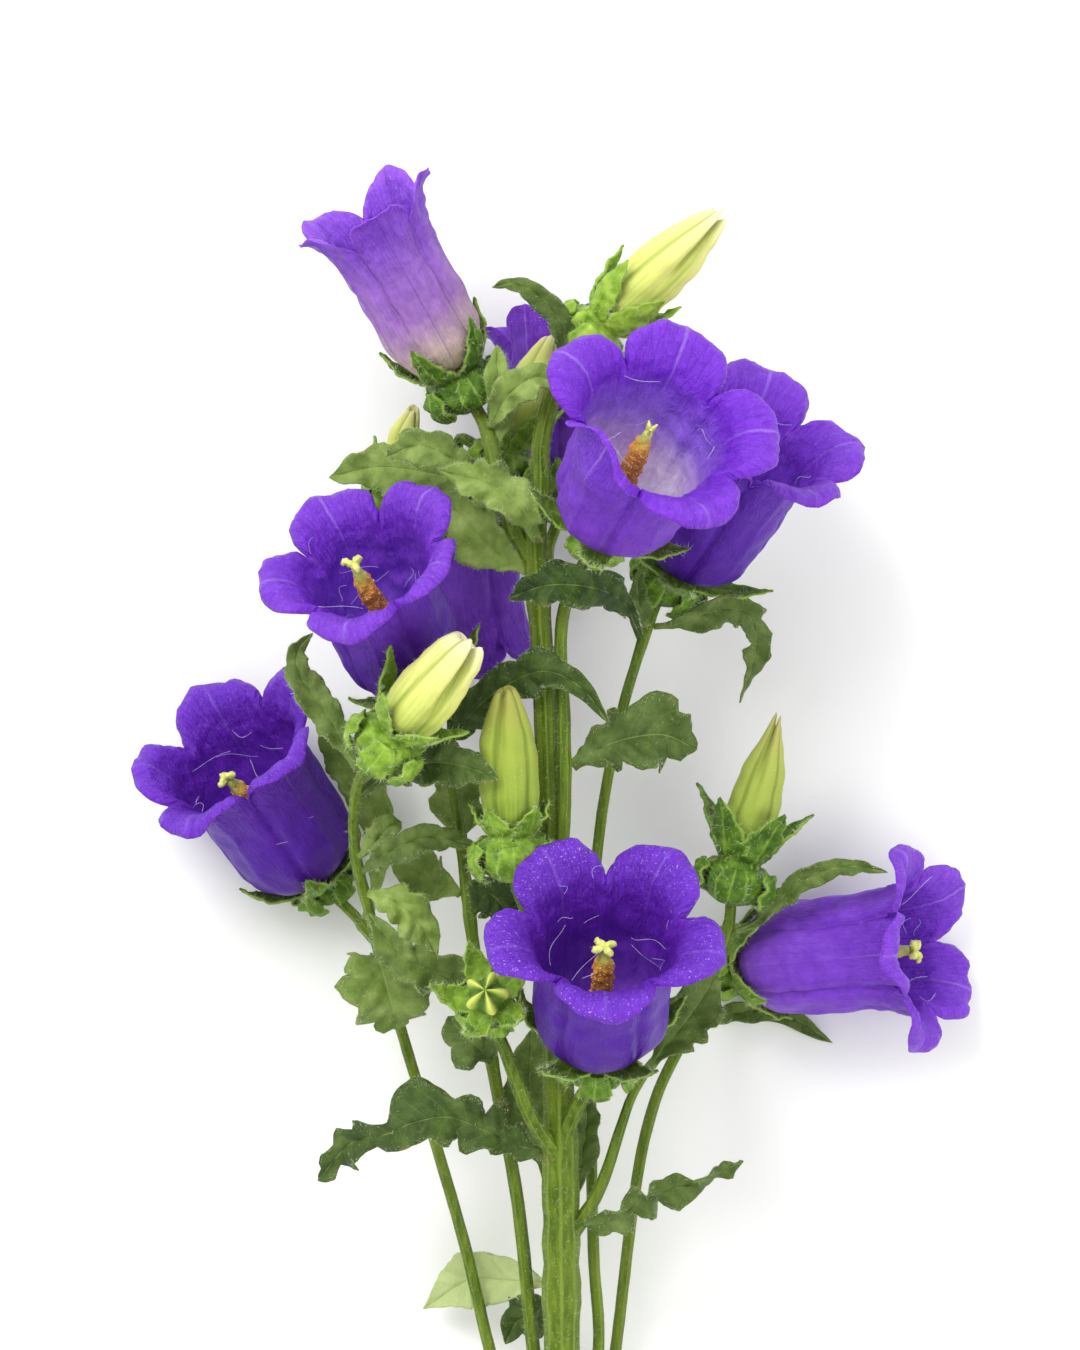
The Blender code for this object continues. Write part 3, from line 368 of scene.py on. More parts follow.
def petalMaterial(name, look):
    made, tree, shader = newMaterial("petal " + name, {
        "Roughness": 0.42, "IOR": 1.4, "Sheen Weight": 0.03, "Sheen Roughness": 0.4, "Sheen Tint": "#A070F0",
        "Specular IOR Level": 0.3, "Subsurface Weight": 0.3, "Subsurface Radius": (0.9, 0.3, 1.0),
        "Subsurface Scale": 0.0016})
    # place holds cosine and sine round the bell, and the share along its wall
    place = addNode(tree, "ShaderNodeAttribute", out="Vector", attribute_name="place")
    share = addNode(tree, "ShaderNodeSeparateXYZ", [place], out="Z")
    skin = addNode(tree, "ShaderNodeAttribute", out="Fac", attribute_name="skin")
    side = addNode(tree, "ShaderNodeAttribute", out="Fac", attribute_name="lobeSide")
    spot = addNode(tree, "ShaderNodeTexCoord", out="Object")
    cloud = addNode(tree, "ShaderNodeTexNoise", {"Vector": spot, "Scale": 110.0, "Detail": 3.0}, out="Fac")
    drift = addNode(tree, "ShaderNodeMapRange", [cloud, 0.3, 0.7, -0.025, 0.025], **eased)
    moved = addNode(tree, "ShaderNodeMath", [share, drift], operation="ADD")
    # inside: paler towards the foot, the throat's own colour raised by painted light through the wall;
    # lighter at the rim, partly a painted highlight
    inner = addNode(tree, "ShaderNodeValToRGB", [moved], stops=[
        (0.1, look["footIn"]), (0.3, look["footIn"]), (0.54, look["wallIn"]), (0.77, look["lobeIn"]),
        (0.95, look["rimIn"])])
    outer = addNode(tree, "ShaderNodeValToRGB", [moved], stops=[
        (0.05, look["footOut"]), (0.2, look["footOut"]), (0.46, look["wallOut"]), (0.86, look["lobeOut"])])
    colour = addNode(tree, "ShaderNodeMix", {0: skin, 6: inner, 7: outer}, **inColour)
    # veins finer than a lobe, about 0.7 mm apart round the wall and 20 mm long, and soft blotches 2 mm wide
    drawn = addNode(tree, "ShaderNodeMapping", {"Vector": place, "Scale": (15, 15, 2.2)})
    streak = addNode(tree, "ShaderNodeTexNoise", {
        "Vector": drawn, "Scale": 1.0, "Detail": 4.0, "Roughness": 0.65}, out="Fac")
    lines = addNode(tree, "ShaderNodeValToRGB", [streak], stops=[(0.3, "#EAE4F0"), (0.68, "#FFFFFF")])
    colour = addNode(tree, "ShaderNodeMix", {0: 1.0, 6: colour, 7: lines}, **inColour, blend_type="MULTIPLY")
    mottle = addNode(tree, "ShaderNodeTexNoise", {
        "Vector": spot, "Scale": 520.0, "Detail": 5.0, "Roughness": 0.62}, out="Fac")
    blotch = addNode(tree, "ShaderNodeValToRGB", [mottle], stops=[(0.34, "#E4DCEC"), (0.62, "#FFFFFF")])
    colour = addNode(tree, "ShaderNodeMix", {0: 1.0, 6: colour, 7: blotch}, **inColour, blend_type="MULTIPLY")
    # the middle vein of each lobe, 0.5 mm wide and paler, plainest from the bend to the tip
    middle = addNode(tree, "ShaderNodeMapRange", [side, 0.0, 0.05, look["veinLook"], 0.0], **eased)
    plain = addNode(tree, "ShaderNodeValToRGB", [share], stops=[
        (0.05, "#606060"), (0.3, look.get("wallVein", "#606060")), (0.6, look.get("wallVein", "#606060")),
        (0.8, "#D0D0D0"), (0.93, "#FFFFFF"), (0.99, "#707070")])
    vein = addNode(tree, "ShaderNodeMath", [middle, plain], operation="MULTIPLY")
    broken = addNode(tree, "ShaderNodeMapRange", [streak, 0.35, 0.6, 0.55, 1.0], **eased)
    vein = addNode(tree, "ShaderNodeMath", [vein, broken], operation="MULTIPLY")
    colour = addNode(tree, "ShaderNodeMix", {0: vein, 6: colour, 7: look["vein"]}, **inColour)
    # painted highlights: pale glinting specks, 0.3 mm wide, on the lobes
    speck = addNode(tree, "ShaderNodeTexNoise", {"Vector": spot, "Scale": 2400.0, "Detail": 2.0}, out="Fac")
    grain = addNode(tree, "ShaderNodeMapRange", [speck, 0.64, 0.7, 0.0, look.get("paintedGlints", 0.15)], **eased)
    onLobe = addNode(tree, "ShaderNodeMapRange", [share, 0.76, 0.94, 0.0, 1.0], **eased)
    paintedGlints = addNode(tree, "ShaderNodeMath", [grain, onLobe], operation="MULTIPLY")
    colour = addNode(tree, "ShaderNodeMix", {0: paintedGlints, 6: colour, 7: "#D8CCF2"}, **inColour)
    tree.links.new(colour, shader.inputs["Base Color"])
    rough = addNode(tree, "ShaderNodeMapRange", [cloud, 0.3, 0.7, 0.32, 0.48], **eased)
    tree.links.new(rough, shader.inputs["Roughness"])
    # domed cells 0.3 mm wide, fine lines along the wall, and puckers where it bends out
    cells = addNode(tree, "ShaderNodeTexVoronoi", {"Vector": spot, "Scale": 3200.0}, out="Distance")
    fine = addNode(tree, "ShaderNodeMapping", {"Vector": place, "Scale": (46, 46, 9)})
    thread = addNode(tree, "ShaderNodeTexNoise", {"Vector": fine, "Scale": 1.0, "Detail": 3.0}, out="Fac")
    low = addNode(tree, "ShaderNodeMath", [cells, 0.3, thread], operation="MULTIPLY_ADD")
    long = addNode(tree, "ShaderNodeMapping", {"Vector": place, "Scale": (14, 14, 9)})
    net = addNode(tree, "ShaderNodeTexVoronoi", {"Vector": long, "Scale": 1.0}, out="Distance",
                  feature="DISTANCE_TO_EDGE")
    netted = addNode(tree, "ShaderNodeMapRange", [net, 0.0, 0.12, 0.5, 0.0], **eased)
    low = addNode(tree, "ShaderNodeMath", [low, netted], operation="ADD")
    both = addNode(tree, "ShaderNodeMath", [low, 0.4, mottle], operation="MULTIPLY_ADD")
    gather = addNode(tree, "ShaderNodeMapRange", [share, 0.5, 0.85, 0.8, 2.8], **eased)
    height = addNode(tree, "ShaderNodeMath", [both, gather], operation="MULTIPLY")
    bump = addNode(tree, "ShaderNodeBump", {"Height": height, "Strength": 0.75, "Distance": 0.0004})
    tree.links.new(bump, shader.inputs["Normal"])
    return made


def lobeFlares(name):  # how far each of a bell's lobes rolls back, a little different for each
    rng = random.Random("lobes of " + name)
    flares = [rng.uniform(0.86, 1.12) for _ in range(5)]
    return [flare * roll for flare, roll in zip(flares, bells[name].get("rolls", (1,) * 5))]


def wallLine(bell, place, lobeFlare, shares, reach=1.0):  # height and radius of the wall at these shares
    steps = 160
    share = (np.arange(steps) + 0.5) / steps
    lean = lookUp(bellLean, share)
    bend = bell["flare"] * (1 + (lobeFlare - 1) * (1 - place * place))
    rolled = bell.get("rimRoll", petalSizes["rimRoll"]) * softStep(reach - 0.075, reach, share)
    lean = np.radians(np.where(share > petalSizes["bendFrom"], lean * bend + rolled, lean))
    step = petalSizes["length"] * bell["size"] / steps
    marks = np.arange(steps + 1) / steps
    height = np.interp(shares, marks, np.concatenate([[0], np.cumsum(np.cos(lean)) * step]))
    radius = np.interp(shares, marks, np.concatenate([[0], np.cumsum(np.sin(lean)) * step]))
    return height, radius * bell["slim"]


def petalGrid(name, bell):
    sizes = petalSizes
    rng = random.Random("edges of " + name)
    flares = lobeFlares(name)
    around, notch = sizes["around"], sizes["notch"]
    roundness = bell.get("roundness", sizes["roundness"])
    rowShare = np.linspace(0, 1, sizes["rows"] + 1)
    grid, place, side = [], [], []
    for lobe in range(5):
        phase, tall = rng.uniform(0, 6.28), rng.uniform(0.7, 1.3)
        for k in range(around):
            signed = math.sin((-1 + 2 * k / around) * math.pi / 2)
            p = abs(signed)
            angle = 2 * math.pi / 5 * (lobe + signed / 2)
            reach = notch + (1 - notch) * max(0.0, 1 - p ** roundness) ** 0.7
            edge = noise.noise(Vector((math.cos(angle), math.sin(angle), lobe)) * 9)
            reach -= sizes["nibble"] / sizes["length"] * (0.5 + edge) * (1 - p ** 8)
            share = rowShare * reach
            height, radius = wallLine(bell, p, flares[lobe], share, reach)
            over = np.maximum(0, (share - 0.8) / 0.2)
            radius = radius + sizes["splay"] * over * p * p
            if lobe == 0:
                radius = radius + bell.get("pouch", 0) * (1 - p * p) * np.exp(-((share - 0.7) / 0.15) ** 2)
            ramp = softStep(0.1, 0.4, share) * (1 - 0.5 * softStep(0.8, 1.0, share))
            radius = radius - ramp * sizes["grooveDepth"] * math.exp(-((1 - p) / sizes["grooveWidth"]) ** 2)
            radius = radius + ramp * sizes["ribHeight"] * math.exp(-(signed / sizes["ribWidth"]) ** 2)
            ripple = math.sin(4.4 * signed + phase) + 0.35 * math.sin(11 * signed + 2 * phase)
            wave = sizes["rimWave"] * tall * ripple * bell.get("wave", 1)
            height = height + wave * over * (1 - p ** 6) + sizes["lift"]
            grid.append(stacked(radius * math.cos(angle), radius * math.sin(angle), height))
            place.append(stacked(math.cos(angle), math.sin(angle), share))
            side.append(np.full(len(share), p))
    grid = np.array(grid).transpose(1, 0, 2)
    place = np.array(place).transpose(1, 0, 2)
    side = np.array(side).T
    # soft dents 5 mm wide all over, and small puckers from the bend to the rim
    out = np.cross(np.roll(grid, -1, 1) - np.roll(grid, 1, 1), np.gradient(grid, axis=0))
    out /= np.maximum(np.linalg.norm(out, axis=2, keepdims=True), 1e-6)
    start = Vector((rng.uniform(0, 90), 7, 3))
    dents, puckers = noiseOver(grid, 0.21, start), noiseOver(grid, 0.62, start)
    depth = dents * sizes["crinkle"] * 1.6 + puckers * sizes["crinkle"] * softStep(0.5, 0.8, place[..., 2])
    grid = grid + out * (depth * softStep(0.1, 0.3, place[..., 2]))[..., None]
    thick = lookUp(((0, sizes["wall"]), (0.8, sizes["wall"]), (1, sizes["rim"])), rowShare)[:, None]
    return grid, np.repeat(thick, grid.shape[1], 1), place, side


petals = {key: petalMaterial(key, look) for key, look in petalLooks.items()}
for name, bell in bells.items():
    grid, thick, place, side = petalGrid(name, bell)
    points, faces, place, skin = solidSheet(grid, thick, place, closed=True)
    points = carried(flowerFrame(bell), points)
    piece = meshPiece("petals_" + name, (points, faces, place, skin), petals[bellLook.get(name, "deep")],
                      {"lobeSide": np.concatenate([side.ravel()] * 2)}, seat=bell["foot"][2] < 30)
    settle(piece, "young_petal" if name == "top_left" else "petal_violet", "corolla_" + name)
print("petals done:", len(bells), "bells")


# Pistil: a pale column; its upper half is brushed all over with orange brown pollen grains,
# and three or four thick stigma arms curl back at its top once the bell has been open for a while.
pistilSizes = dict(
    reach=37.0,  # from the bell's foot to the stigma's top
    root=1.54,  # from the foot to where the column starts
    sides=24,
    rows=44,
    sleeveEnd=0.88,  # share of the column where the pollen stops
    armLength=3.9,
    armRadius=0.84,
    armSides=12,
    armRows=14,
    armKnobs=0.35,  # how knobbly the arms are
    grain=0.2,  # radius of a clump of pollen
    grainsPerMm=3.2,  # clumps on each square millimetre of the sleeve
)
# How many stigma arms have curled open. The other stigmas are still closed.
openArms = {"far_left": 3, "mid_left": 3, "low_front": 4, "low_right": 4, "upper_right": 3}
# The share of the reach that a pistil has, and the millimetres that its top leans to the right.
pistilStand = {
    "top_front": (0.85, -1.2), "low_front": (0.8, 0), "mid_left": (0.92, -2.4), "far_left": (0.87, -4.5),
    "top_left": (0.84, 0.4), "low_right": (0.9, 0.6),
}


def pistilMaterial():
    made, tree, shader = newMaterial("pistil living", {"Roughness": 0.55, "IOR": 1.4})
    place = addNode(tree, "ShaderNodeAttribute", out="Vector", attribute_name="place")
    share = addNode(tree, "ShaderNodeSeparateXYZ", [place], out="Z")
    colour = addNode(tree, "ShaderNodeValToRGB", [share], stops=[
        (0.0, "#DDE0B0"), (0.3, "#D8B878"), (0.4, "#D08C44"), (0.78, "#D8993C"), (0.85, "#D8C050"),
        (0.9, "#CDD468"), (1.0, "#DCDF80")])
    spot = addNode(tree, "ShaderNodeTexCoord", out="Object")
    cloud = addNode(tree, "ShaderNodeTexNoise", {"Vector": spot, "Scale": 900.0, "Detail": 4.0}, out="Fac")
    dim = addNode(tree, "ShaderNodeMapRange", [cloud, 0.35, 0.7, 0.0, 0.3], **eased)
    colour = addNode(tree, "ShaderNodeMix", {0: dim, 6: colour, 7: "#B08A5A"}, **inColour,
                     blend_type="MULTIPLY")
    tree.links.new(colour, shader.inputs["Base Color"])
    bump = addNode(tree, "ShaderNodeBump", {"Height": cloud, "Strength": 0.5, "Distance": 0.0003})
    tree.links.new(bump, shader.inputs["Normal"])
    return made


def pollenMaterial():  # loose pollen: dull clumps from straw yellow to rust
    made, tree, shader = newMaterial("pollen clumps", {"Roughness": 0.85, "IOR": 1.45})
    spot = addNode(tree, "ShaderNodeTexCoord", out="Object")
    cloud = addNode(tree, "ShaderNodeTexNoise", {"Vector": spot, "Scale": 1100.0, "Detail": 2.0}, out="Fac")
    colour = addNode(tree, "ShaderNodeValToRGB", [cloud], stops=[
        (0.3, "#B4702E"), (0.42, "#D88C40"), (0.55, "#E6A656"), (0.7, "#F2CC80")])
    tree.links.new(colour, shader.inputs["Base Color"])
    return made


def pollenTree():  # clumps scattered on the sleeve and joined to the pistil that bears them
    tree, given = treeInputs("pollen coat", [
        ("Grain", "NodeSocketFloat"), ("Density", "NodeSocketFloat"), ("Seed", "NodeSocketInt"),
        ("Pollen", "NodeSocketMaterial")])
    where = addNode(tree, "GeometryNodeInputNamedAttribute", {"Name": "sleeve"}, data_type="FLOAT")
    density = addNode(tree, "ShaderNodeMath", [given["Density"], where], operation="MULTIPLY")
    spread = addNode(tree, "GeometryNodeDistributePointsOnFaces", {
        "Mesh": given["Geometry"], "Density": density, "Seed": given["Seed"]})
    clump = addNode(tree, "GeometryNodeMeshIcoSphere", {"Radius": given["Grain"], "Subdivisions": 1})
    marked = addNode(tree, "GeometryNodeStoreNamedAttribute", {
        "Geometry": clump, "Name": "grain", "Value": True}, data_type="BOOLEAN")
    size = addNode(tree, "FunctionNodeRandomValue", {2: 0.5, 3: 1.3, "Seed": given["Seed"]}, out=1,
                   data_type="FLOAT")
    put = addNode(tree, "GeometryNodeInstanceOnPoints", {
        "Points": spread, "Instance": marked, "Rotation": spread.node.outputs["Rotation"], "Scale": size})
    both = addNode(tree, "GeometryNodeJoinGeometry", [put])
    tree.links.new(given["Geometry"], both.node.inputs[0])
    real = addNode(tree, "GeometryNodeRealizeInstances", [both])
    grain = addNode(tree, "GeometryNodeInputNamedAttribute", {"Name": "grain"}, data_type="BOOLEAN")
    dressed = addNode(tree, "GeometryNodeSetMaterial", {
        "Geometry": real, "Selection": grain, "Material": given["Pollen"]})
    addNode(tree, "NodeGroupOutput", [dressed])
    return tree


def tube(points, radii, sides, place):  # a closed round shape along points
    points = np.array(points, float)
    ahead = np.gradient(points, axis=0)
    ahead /= np.linalg.norm(ahead, axis=1, keepdims=True)
    across = np.array(Vector(ahead[0]).orthogonal().normalized())
    turn = fullTurn(sides)[:, None]
    grid = []
    for point, way, radius in zip(points, ahead, radii):
        across = across - way * across.dot(way)
        across /= np.linalg.norm(across)
        grid.append(point + (across * np.cos(turn) + np.cross(way, across) * np.sin(turn)) * radius)
    rings = len(grid)
    points = np.array(grid).reshape(-1, 3)
    return points, ringFaces(rings, sides), np.repeat(place, sides, 0), np.ones(rings * sides)


# A column's radius by the share of its height: its lower part, then its top with open or closed arms.
columnFoot = ((0, 0), (0.005, 0.9), (0.1, 1.0), (0.3, 1.2), (0.36, 1.8), (0.5, 1.95), (0.76, 1.85))
columnOpen = ((0.86, 1.45), (0.9, 1.05), (0.95, 0.9), (0.97, 0.0))
columnClosed = ((0.84, 1.5), (0.89, 1.05), (0.94, 0.9), (0.96, 0.6), (0.97, 0.0))


def pistilShape(name, bell):
    sizes = pistilSizes
    rng = random.Random("stigma of " + name)
    tall, tilt = pistilStand.get(name, (0.97, 0.6))
    top = sizes["reach"] * bell["size"] * tall
    arms = openArms.get(name, 0)
    column = columnFoot + (columnOpen if arms else columnClosed)
    share = np.linspace(0, column[-1][0], sizes["rows"])
    radius = lookUp(column, share)
    height = sizes["root"] + share * (top - sizes["root"])
    middle = stacked(0.6 * np.sin(share * 2.4), tilt * share ** 1.6, height)
    body = list(tube(middle, radius, sizes["sides"], stacked(0.0, 0.0, share)))
    rough = noiseOver(body[0], 0.9)[:, None]
    around = body[0] - np.repeat(middle, sizes["sides"], 0)
    end = sizes["sleeveEnd"]
    sleeve = softStep(0.3, 0.38, share) * (1 - softStep(end - 0.05, end + 0.03, share))
    sleeve = np.repeat(sleeve, sizes["sides"])
    body[0] = body[0] + around * rough * (0.1 + 0.35 * sleeve[:, None])
    parts, coats = [tuple(body)], [sleeve]
    t = np.linspace(0, 1, sizes["armRows"])
    for arm in range(arms or 3):
        turn = 2 * math.pi * (arm + rng.uniform(-0.15, 0.15)) / (arms or 3) + 0.5
        out = np.array([math.cos(turn), math.sin(turn), 0])
        if arms:
            length = sizes["armLength"] * rng.uniform(0.85, 1.1)
            bend = rng.uniform(0.85, 1.15) * 2.7 * t ** 1.4
            step = length / (len(t) - 1)
            steps = np.outer(np.sin(bend) * step, out) + stacked(0.0, 0.0, np.cos(bend) * step)
            line = middle[-1] + np.cumsum(steps, axis=0) - [0, 0, 1.8]
        else:
            line = middle[-1] + np.outer(0.3 + t ** 2, out) + np.outer(t * 2.8, [0, 0, 1]) - [0, 0, 1.2]
        # an arm is round at its tip and closed where it starts, inside the column
        taper = 0.8 + 0.2 * t if arms else 0.7 - 0.35 * t
        thick = sizes["armRadius"] * taper * np.sqrt(np.clip(1 - t ** 6, 0, 1)) * np.minimum(1, t * 6)
        made = list(tube(line, thick, sizes["armSides"], stacked(0.0, 0.0, 0.9 + 0.1 * t)))
        knobs = noiseOver(made[0], 1.6)[:, None]
        around = made[0] - np.repeat(line, sizes["armSides"], 0)
        made[0] = made[0] + around * knobs * sizes["armKnobs"] * 2
        parts.append(tuple(made))
        coats.append(np.zeros(len(made[0])))
    return heaped(parts), np.concatenate(coats)


pistil, pollen, coat = pistilMaterial(), pollenMaterial(), pollenTree()
for count, (name, bell) in enumerate(bells.items()):
    (points, faces, place, skin), sleeve = pistilShape(name, bell)
    piece = meshPiece("pistil_" + name, (carried(flowerFrame(bell), points), faces, place, skin), pistil,
                      {"sleeve": sleeve})
    grown(piece, coat, {"Grain": pistilSizes["grain"] * mm, "Density": pistilSizes["grainsPerMm"] * 1e6,
                        "Seed": 11 + count, "Pollen": pollen})
    settle(piece, "style_yellow", "style_" + name)
print("pistils done")


buds = {
    "top_right": dict(foot=(8.6, 205.4, 47), along=(0.73, 0.68), rise=9, length=32, radius=5.8),
    "top_mid": dict(foot=(-10.4, 181, 33), along=(0.36, 0.93), rise=6, length=24, radius=4.4),
    "small_left": dict(foot=(-34.4, 173, 25), along=(0.3, 0.95), rise=8, length=17, radius=3.2),
    "mid_left": dict(foot=(-32.4, 124, 64.4), along=(0.63, 0.78), rise=22, length=24.5, radius=6.3),
    "mid": dict(foot=(-9.6, 103, 55), along=(-0.05, 1.0), rise=10, length=30, radius=5.9),
    "right": dict(foot=(36, 97.6, 27), along=(0.26, 0.965), rise=6, length=29.5, radius=5.6, taper=0.4),
    "star": dict(foot=(-14.4, 70.6, 59), along=(-0.3, 0.95), rise=70, length=5.5, radius=4.2,
                 ripple=0.28),
}

# Closed bud: the same petals, still folded in five soft pleats and without their violet pigment.
# groove: where round the bud its edges have parted, in degrees; cleft: how deep; green: how unripe;
# blunt: how wide its tip is.
budForms = {
    "top_right": dict(groove=20, cleft=0.5, green=0.0, blunt=0.8),
    "top_mid": dict(groove=50, cleft=0.2, green=0.45, blunt=0.7),
    "small_left": dict(groove=40, cleft=0.15, green=0.35, blunt=0.7),
    "mid_left": dict(groove=28, cleft=0.6, green=0.0, blunt=1.1),
    "mid": dict(groove=-24, cleft=0.2, green=0.95, blunt=0.75),
    "right": dict(groove=-16, cleft=0.4, green=0.8, blunt=0.6),
}
budSizes = dict(sides=90, rows=60, pleat=0.045, twist=12, lip=1.8, dent=0.4)
budShape = (  # a bud's radius by the share of its length
    (0, 0), (0.02, 0.42), (0.06, 0.7), (0.14, 0.88), (0.28, 0.99), (0.44, 1.0),
    (0.6, 0.95), (0.74, 0.86), (0.86, 0.73), (0.94, 0.6), (0.98, 0.5), (1.0, 0.38),
)
# How wide and how far down the rings are that close a bud's tip.
tipRings = ((0.8, -0.4), (0.5, -1.4), (0.2, -2.0), (0.0, -2.2))
starSizes = dict(
    ridges=5,
    sharp=3,  # how narrow the ridges are
    hollow=0.62,  # how deep they stand apart
    widest=0.45,  # share of the line from its foot to its top where it is widest
    sides=100,
    rows=26,
)


def budMaterial():
    made, tree, shader = newMaterial("bud lime", {
        "Roughness": 0.5, "IOR": 1.4, "Sheen Weight": 0.04, "Sheen Tint": "#FFFFE0",
        "Specular IOR Level": 0.3})
    place = addNode(tree, "ShaderNodeAttribute", out="Vector", attribute_name="place")
    share = addNode(tree, "ShaderNodeSeparateXYZ", [place], out="Z")
    # pleat is 1 on a ridge and 0 in a fold
    pleat = addNode(tree, "ShaderNodeAttribute", out="Fac", attribute_name="pleat")
    green = addNode(tree, "ShaderNodeAttribute", out="Fac", attribute_name="green")
    ripe = addNode(tree, "ShaderNodeValToRGB", [share], stops=[
        (0.0, "#8CA040"), (0.2, "#C2CE64"), (0.5, "#DEE07A"), (0.86, "#E6E292"), (1.0, "#EEE6B8")])
    unripe = addNode(tree, "ShaderNodeValToRGB", [share], stops=[
        (0.0, "#628220"), (0.3, "#80982C"), (0.7, "#92A238"), (1.0, "#A8A44E")])
    colour = addNode(tree, "ShaderNodeMix", {0: green, 6: ripe, 7: unripe}, **inColour)
    drawn = addNode(tree, "ShaderNodeMapping", {"Vector": place, "Scale": (9, 9, 1.6)})
    streak = addNode(tree, "ShaderNodeTexNoise", {"Vector": drawn, "Scale": 1.0, "Detail": 4.0}, out="Fac")
    veined = addNode(tree, "ShaderNodeMapRange", [streak, 0.42, 0.68, 0.0, 0.4], **eased)
    colour = addNode(tree, "ShaderNodeMix", {0: veined, 6: colour, 7: "#9CB04E"}, **inColour)
    # painted shade: the folds between the pleats are darkened
    fold = addNode(tree, "ShaderNodeMapRange", [pleat, 0.0, 0.4, 0.55, 0.0], **eased)
    colour = addNode(tree, "ShaderNodeMix", {0: fold, 6: colour, 7: "#86A03A"}, **inColour,
                     blend_type="MULTIPLY")
    tree.links.new(colour, shader.inputs["Base Color"])
    spot = addNode(tree, "ShaderNodeTexCoord", out="Object")
    grain = addNode(tree, "ShaderNodeTexNoise", {"Vector": spot, "Scale": 700.0, "Detail": 4.0}, out="Fac")
    fine = addNode(tree, "ShaderNodeMapping", {"Vector": place, "Scale": (40, 40, 6)})
    lines = addNode(tree, "ShaderNodeTexNoise", {"Vector": fine, "Scale": 1.0, "Detail": 3.0}, out="Fac")
    height = addNode(tree, "ShaderNodeMath", [grain, 0.8, lines], operation="MULTIPLY_ADD")
    bump = addNode(tree, "ShaderNodeBump", {"Height": height, "Strength": 0.4, "Distance": 0.0003})
    tree.links.new(bump, shader.inputs["Normal"])
    return made


def starMaterial():  # the youngest bud: narrow pale ridges and dark green hollows between them
    made, tree, shader = newMaterial("bud star", {
        "Roughness": 0.5, "IOR": 1.4, "Sheen Weight": 0.15, "Sheen Tint": "#F0F8C0"})
    pleat = addNode(tree, "ShaderNodeAttribute", out="Fac", attribute_name="pleat")
    spot = addNode(tree, "ShaderNodeTexCoord", out="Object")
    grain = addNode(tree, "ShaderNodeTexNoise", {"Vector": spot, "Scale": 900.0, "Detail": 4.0}, out="Fac")
    shift = addNode(tree, "ShaderNodeMapRange", [grain, 0.3, 0.7, -0.1, 0.1])
    moved = addNode(tree, "ShaderNodeMath", [pleat, shift], operation="ADD")
    colour = addNode(tree, "ShaderNodeValToRGB", [moved], stops=[
        (0.05, "#4E701E"), (0.35, "#6E9230"), (0.6, "#A4BA44"), (0.9, "#CCD662")])
    tree.links.new(colour, shader.inputs["Base Color"])
    bump = addNode(tree, "ShaderNodeBump", {"Height": grain, "Strength": 0.5, "Distance": 0.0003})
    tree.links.new(bump, shader.inputs["Normal"])
    return made


def budGrid(name, bud):  # points, share along it and pleat (1 on a ridge) of a folded bud
    sizes, form = budSizes, budForms[name]
    rng = random.Random("bud tip " + name)
    share = np.linspace(0, 1, sizes["rows"])
    turn = fullTurn(sizes["sides"])
    taper = 1 - bud.get("taper", 0) * np.maximum(0, share - 0.2)
    narrowed = 1 - (1 - form["blunt"]) * softStep(0.62, 1.0, share)
    radius = lookUp(budShape, share) * taper * bud["radius"] * narrowed
    twisted = turn[None, :] - (np.radians(sizes["twist"]) * share)[:, None]
    folded = np.abs(np.cos(2.5 * twisted))
    ripple = sizes["pleat"] + 0.06 * softStep(0.7, 1.0, share)
    wide = radius[:, None] * (1 + ripple[:, None] * (2 * folded - 1))
    away = np.angle(np.exp(1j * (twisted - math.radians(form["groove"]))))
    part = form["cleft"] * softStep(0.2, 1.0, share)[:, None] * np.exp(-(away / 0.2) ** 2)
    wide = wide * (1 - part)
    lips = np.exp(-((np.abs(away) - 0.62) / 0.4) ** 2)
    uneven = 0.4 * np.cos(turn - rng.uniform(0, 6))[None, :]
    raised = form["cleft"] * 2 * lips - part * 2.4 + uneven - 0.3
    lift = softStep(0.8, 1.0, share)[:, None] * sizes["lip"] * raised
    grid = stacked(wide * np.cos(turn), wide * np.sin(turn), (share * bud["length"])[:, None] + lift)
    start = Vector((rng.uniform(0, 90), 5, 2))
    dents = noiseOver(grid, 0.3, start) * sizes["dent"] / bud["radius"]
    grid[..., :2] *= (1 + dents * softStep(0.02, 0.2, share)[:, None])[..., None]
    last, closing = grid[-1], []
    for scale, dip in tipRings:
        ring = last.copy()
        ring[:, :2] *= scale
        ring[:, 2] = last[:, 2] * scale + (last[:, 2].mean() + dip) * (1 - scale) + dip * 0.2
        closing.append(ring if scale else np.repeat(ring.mean(axis=0)[None], len(ring), 0))
    grid = np.concatenate([grid, np.array(closing)])
    pleat = np.clip(folded - part * 2, 0, 1)
    pleat = np.concatenate([pleat, pleat[-1:] * np.array([[scale] for scale, _ in tipRings])])
    return grid, np.concatenate([share, np.ones(len(tipRings))]), pleat


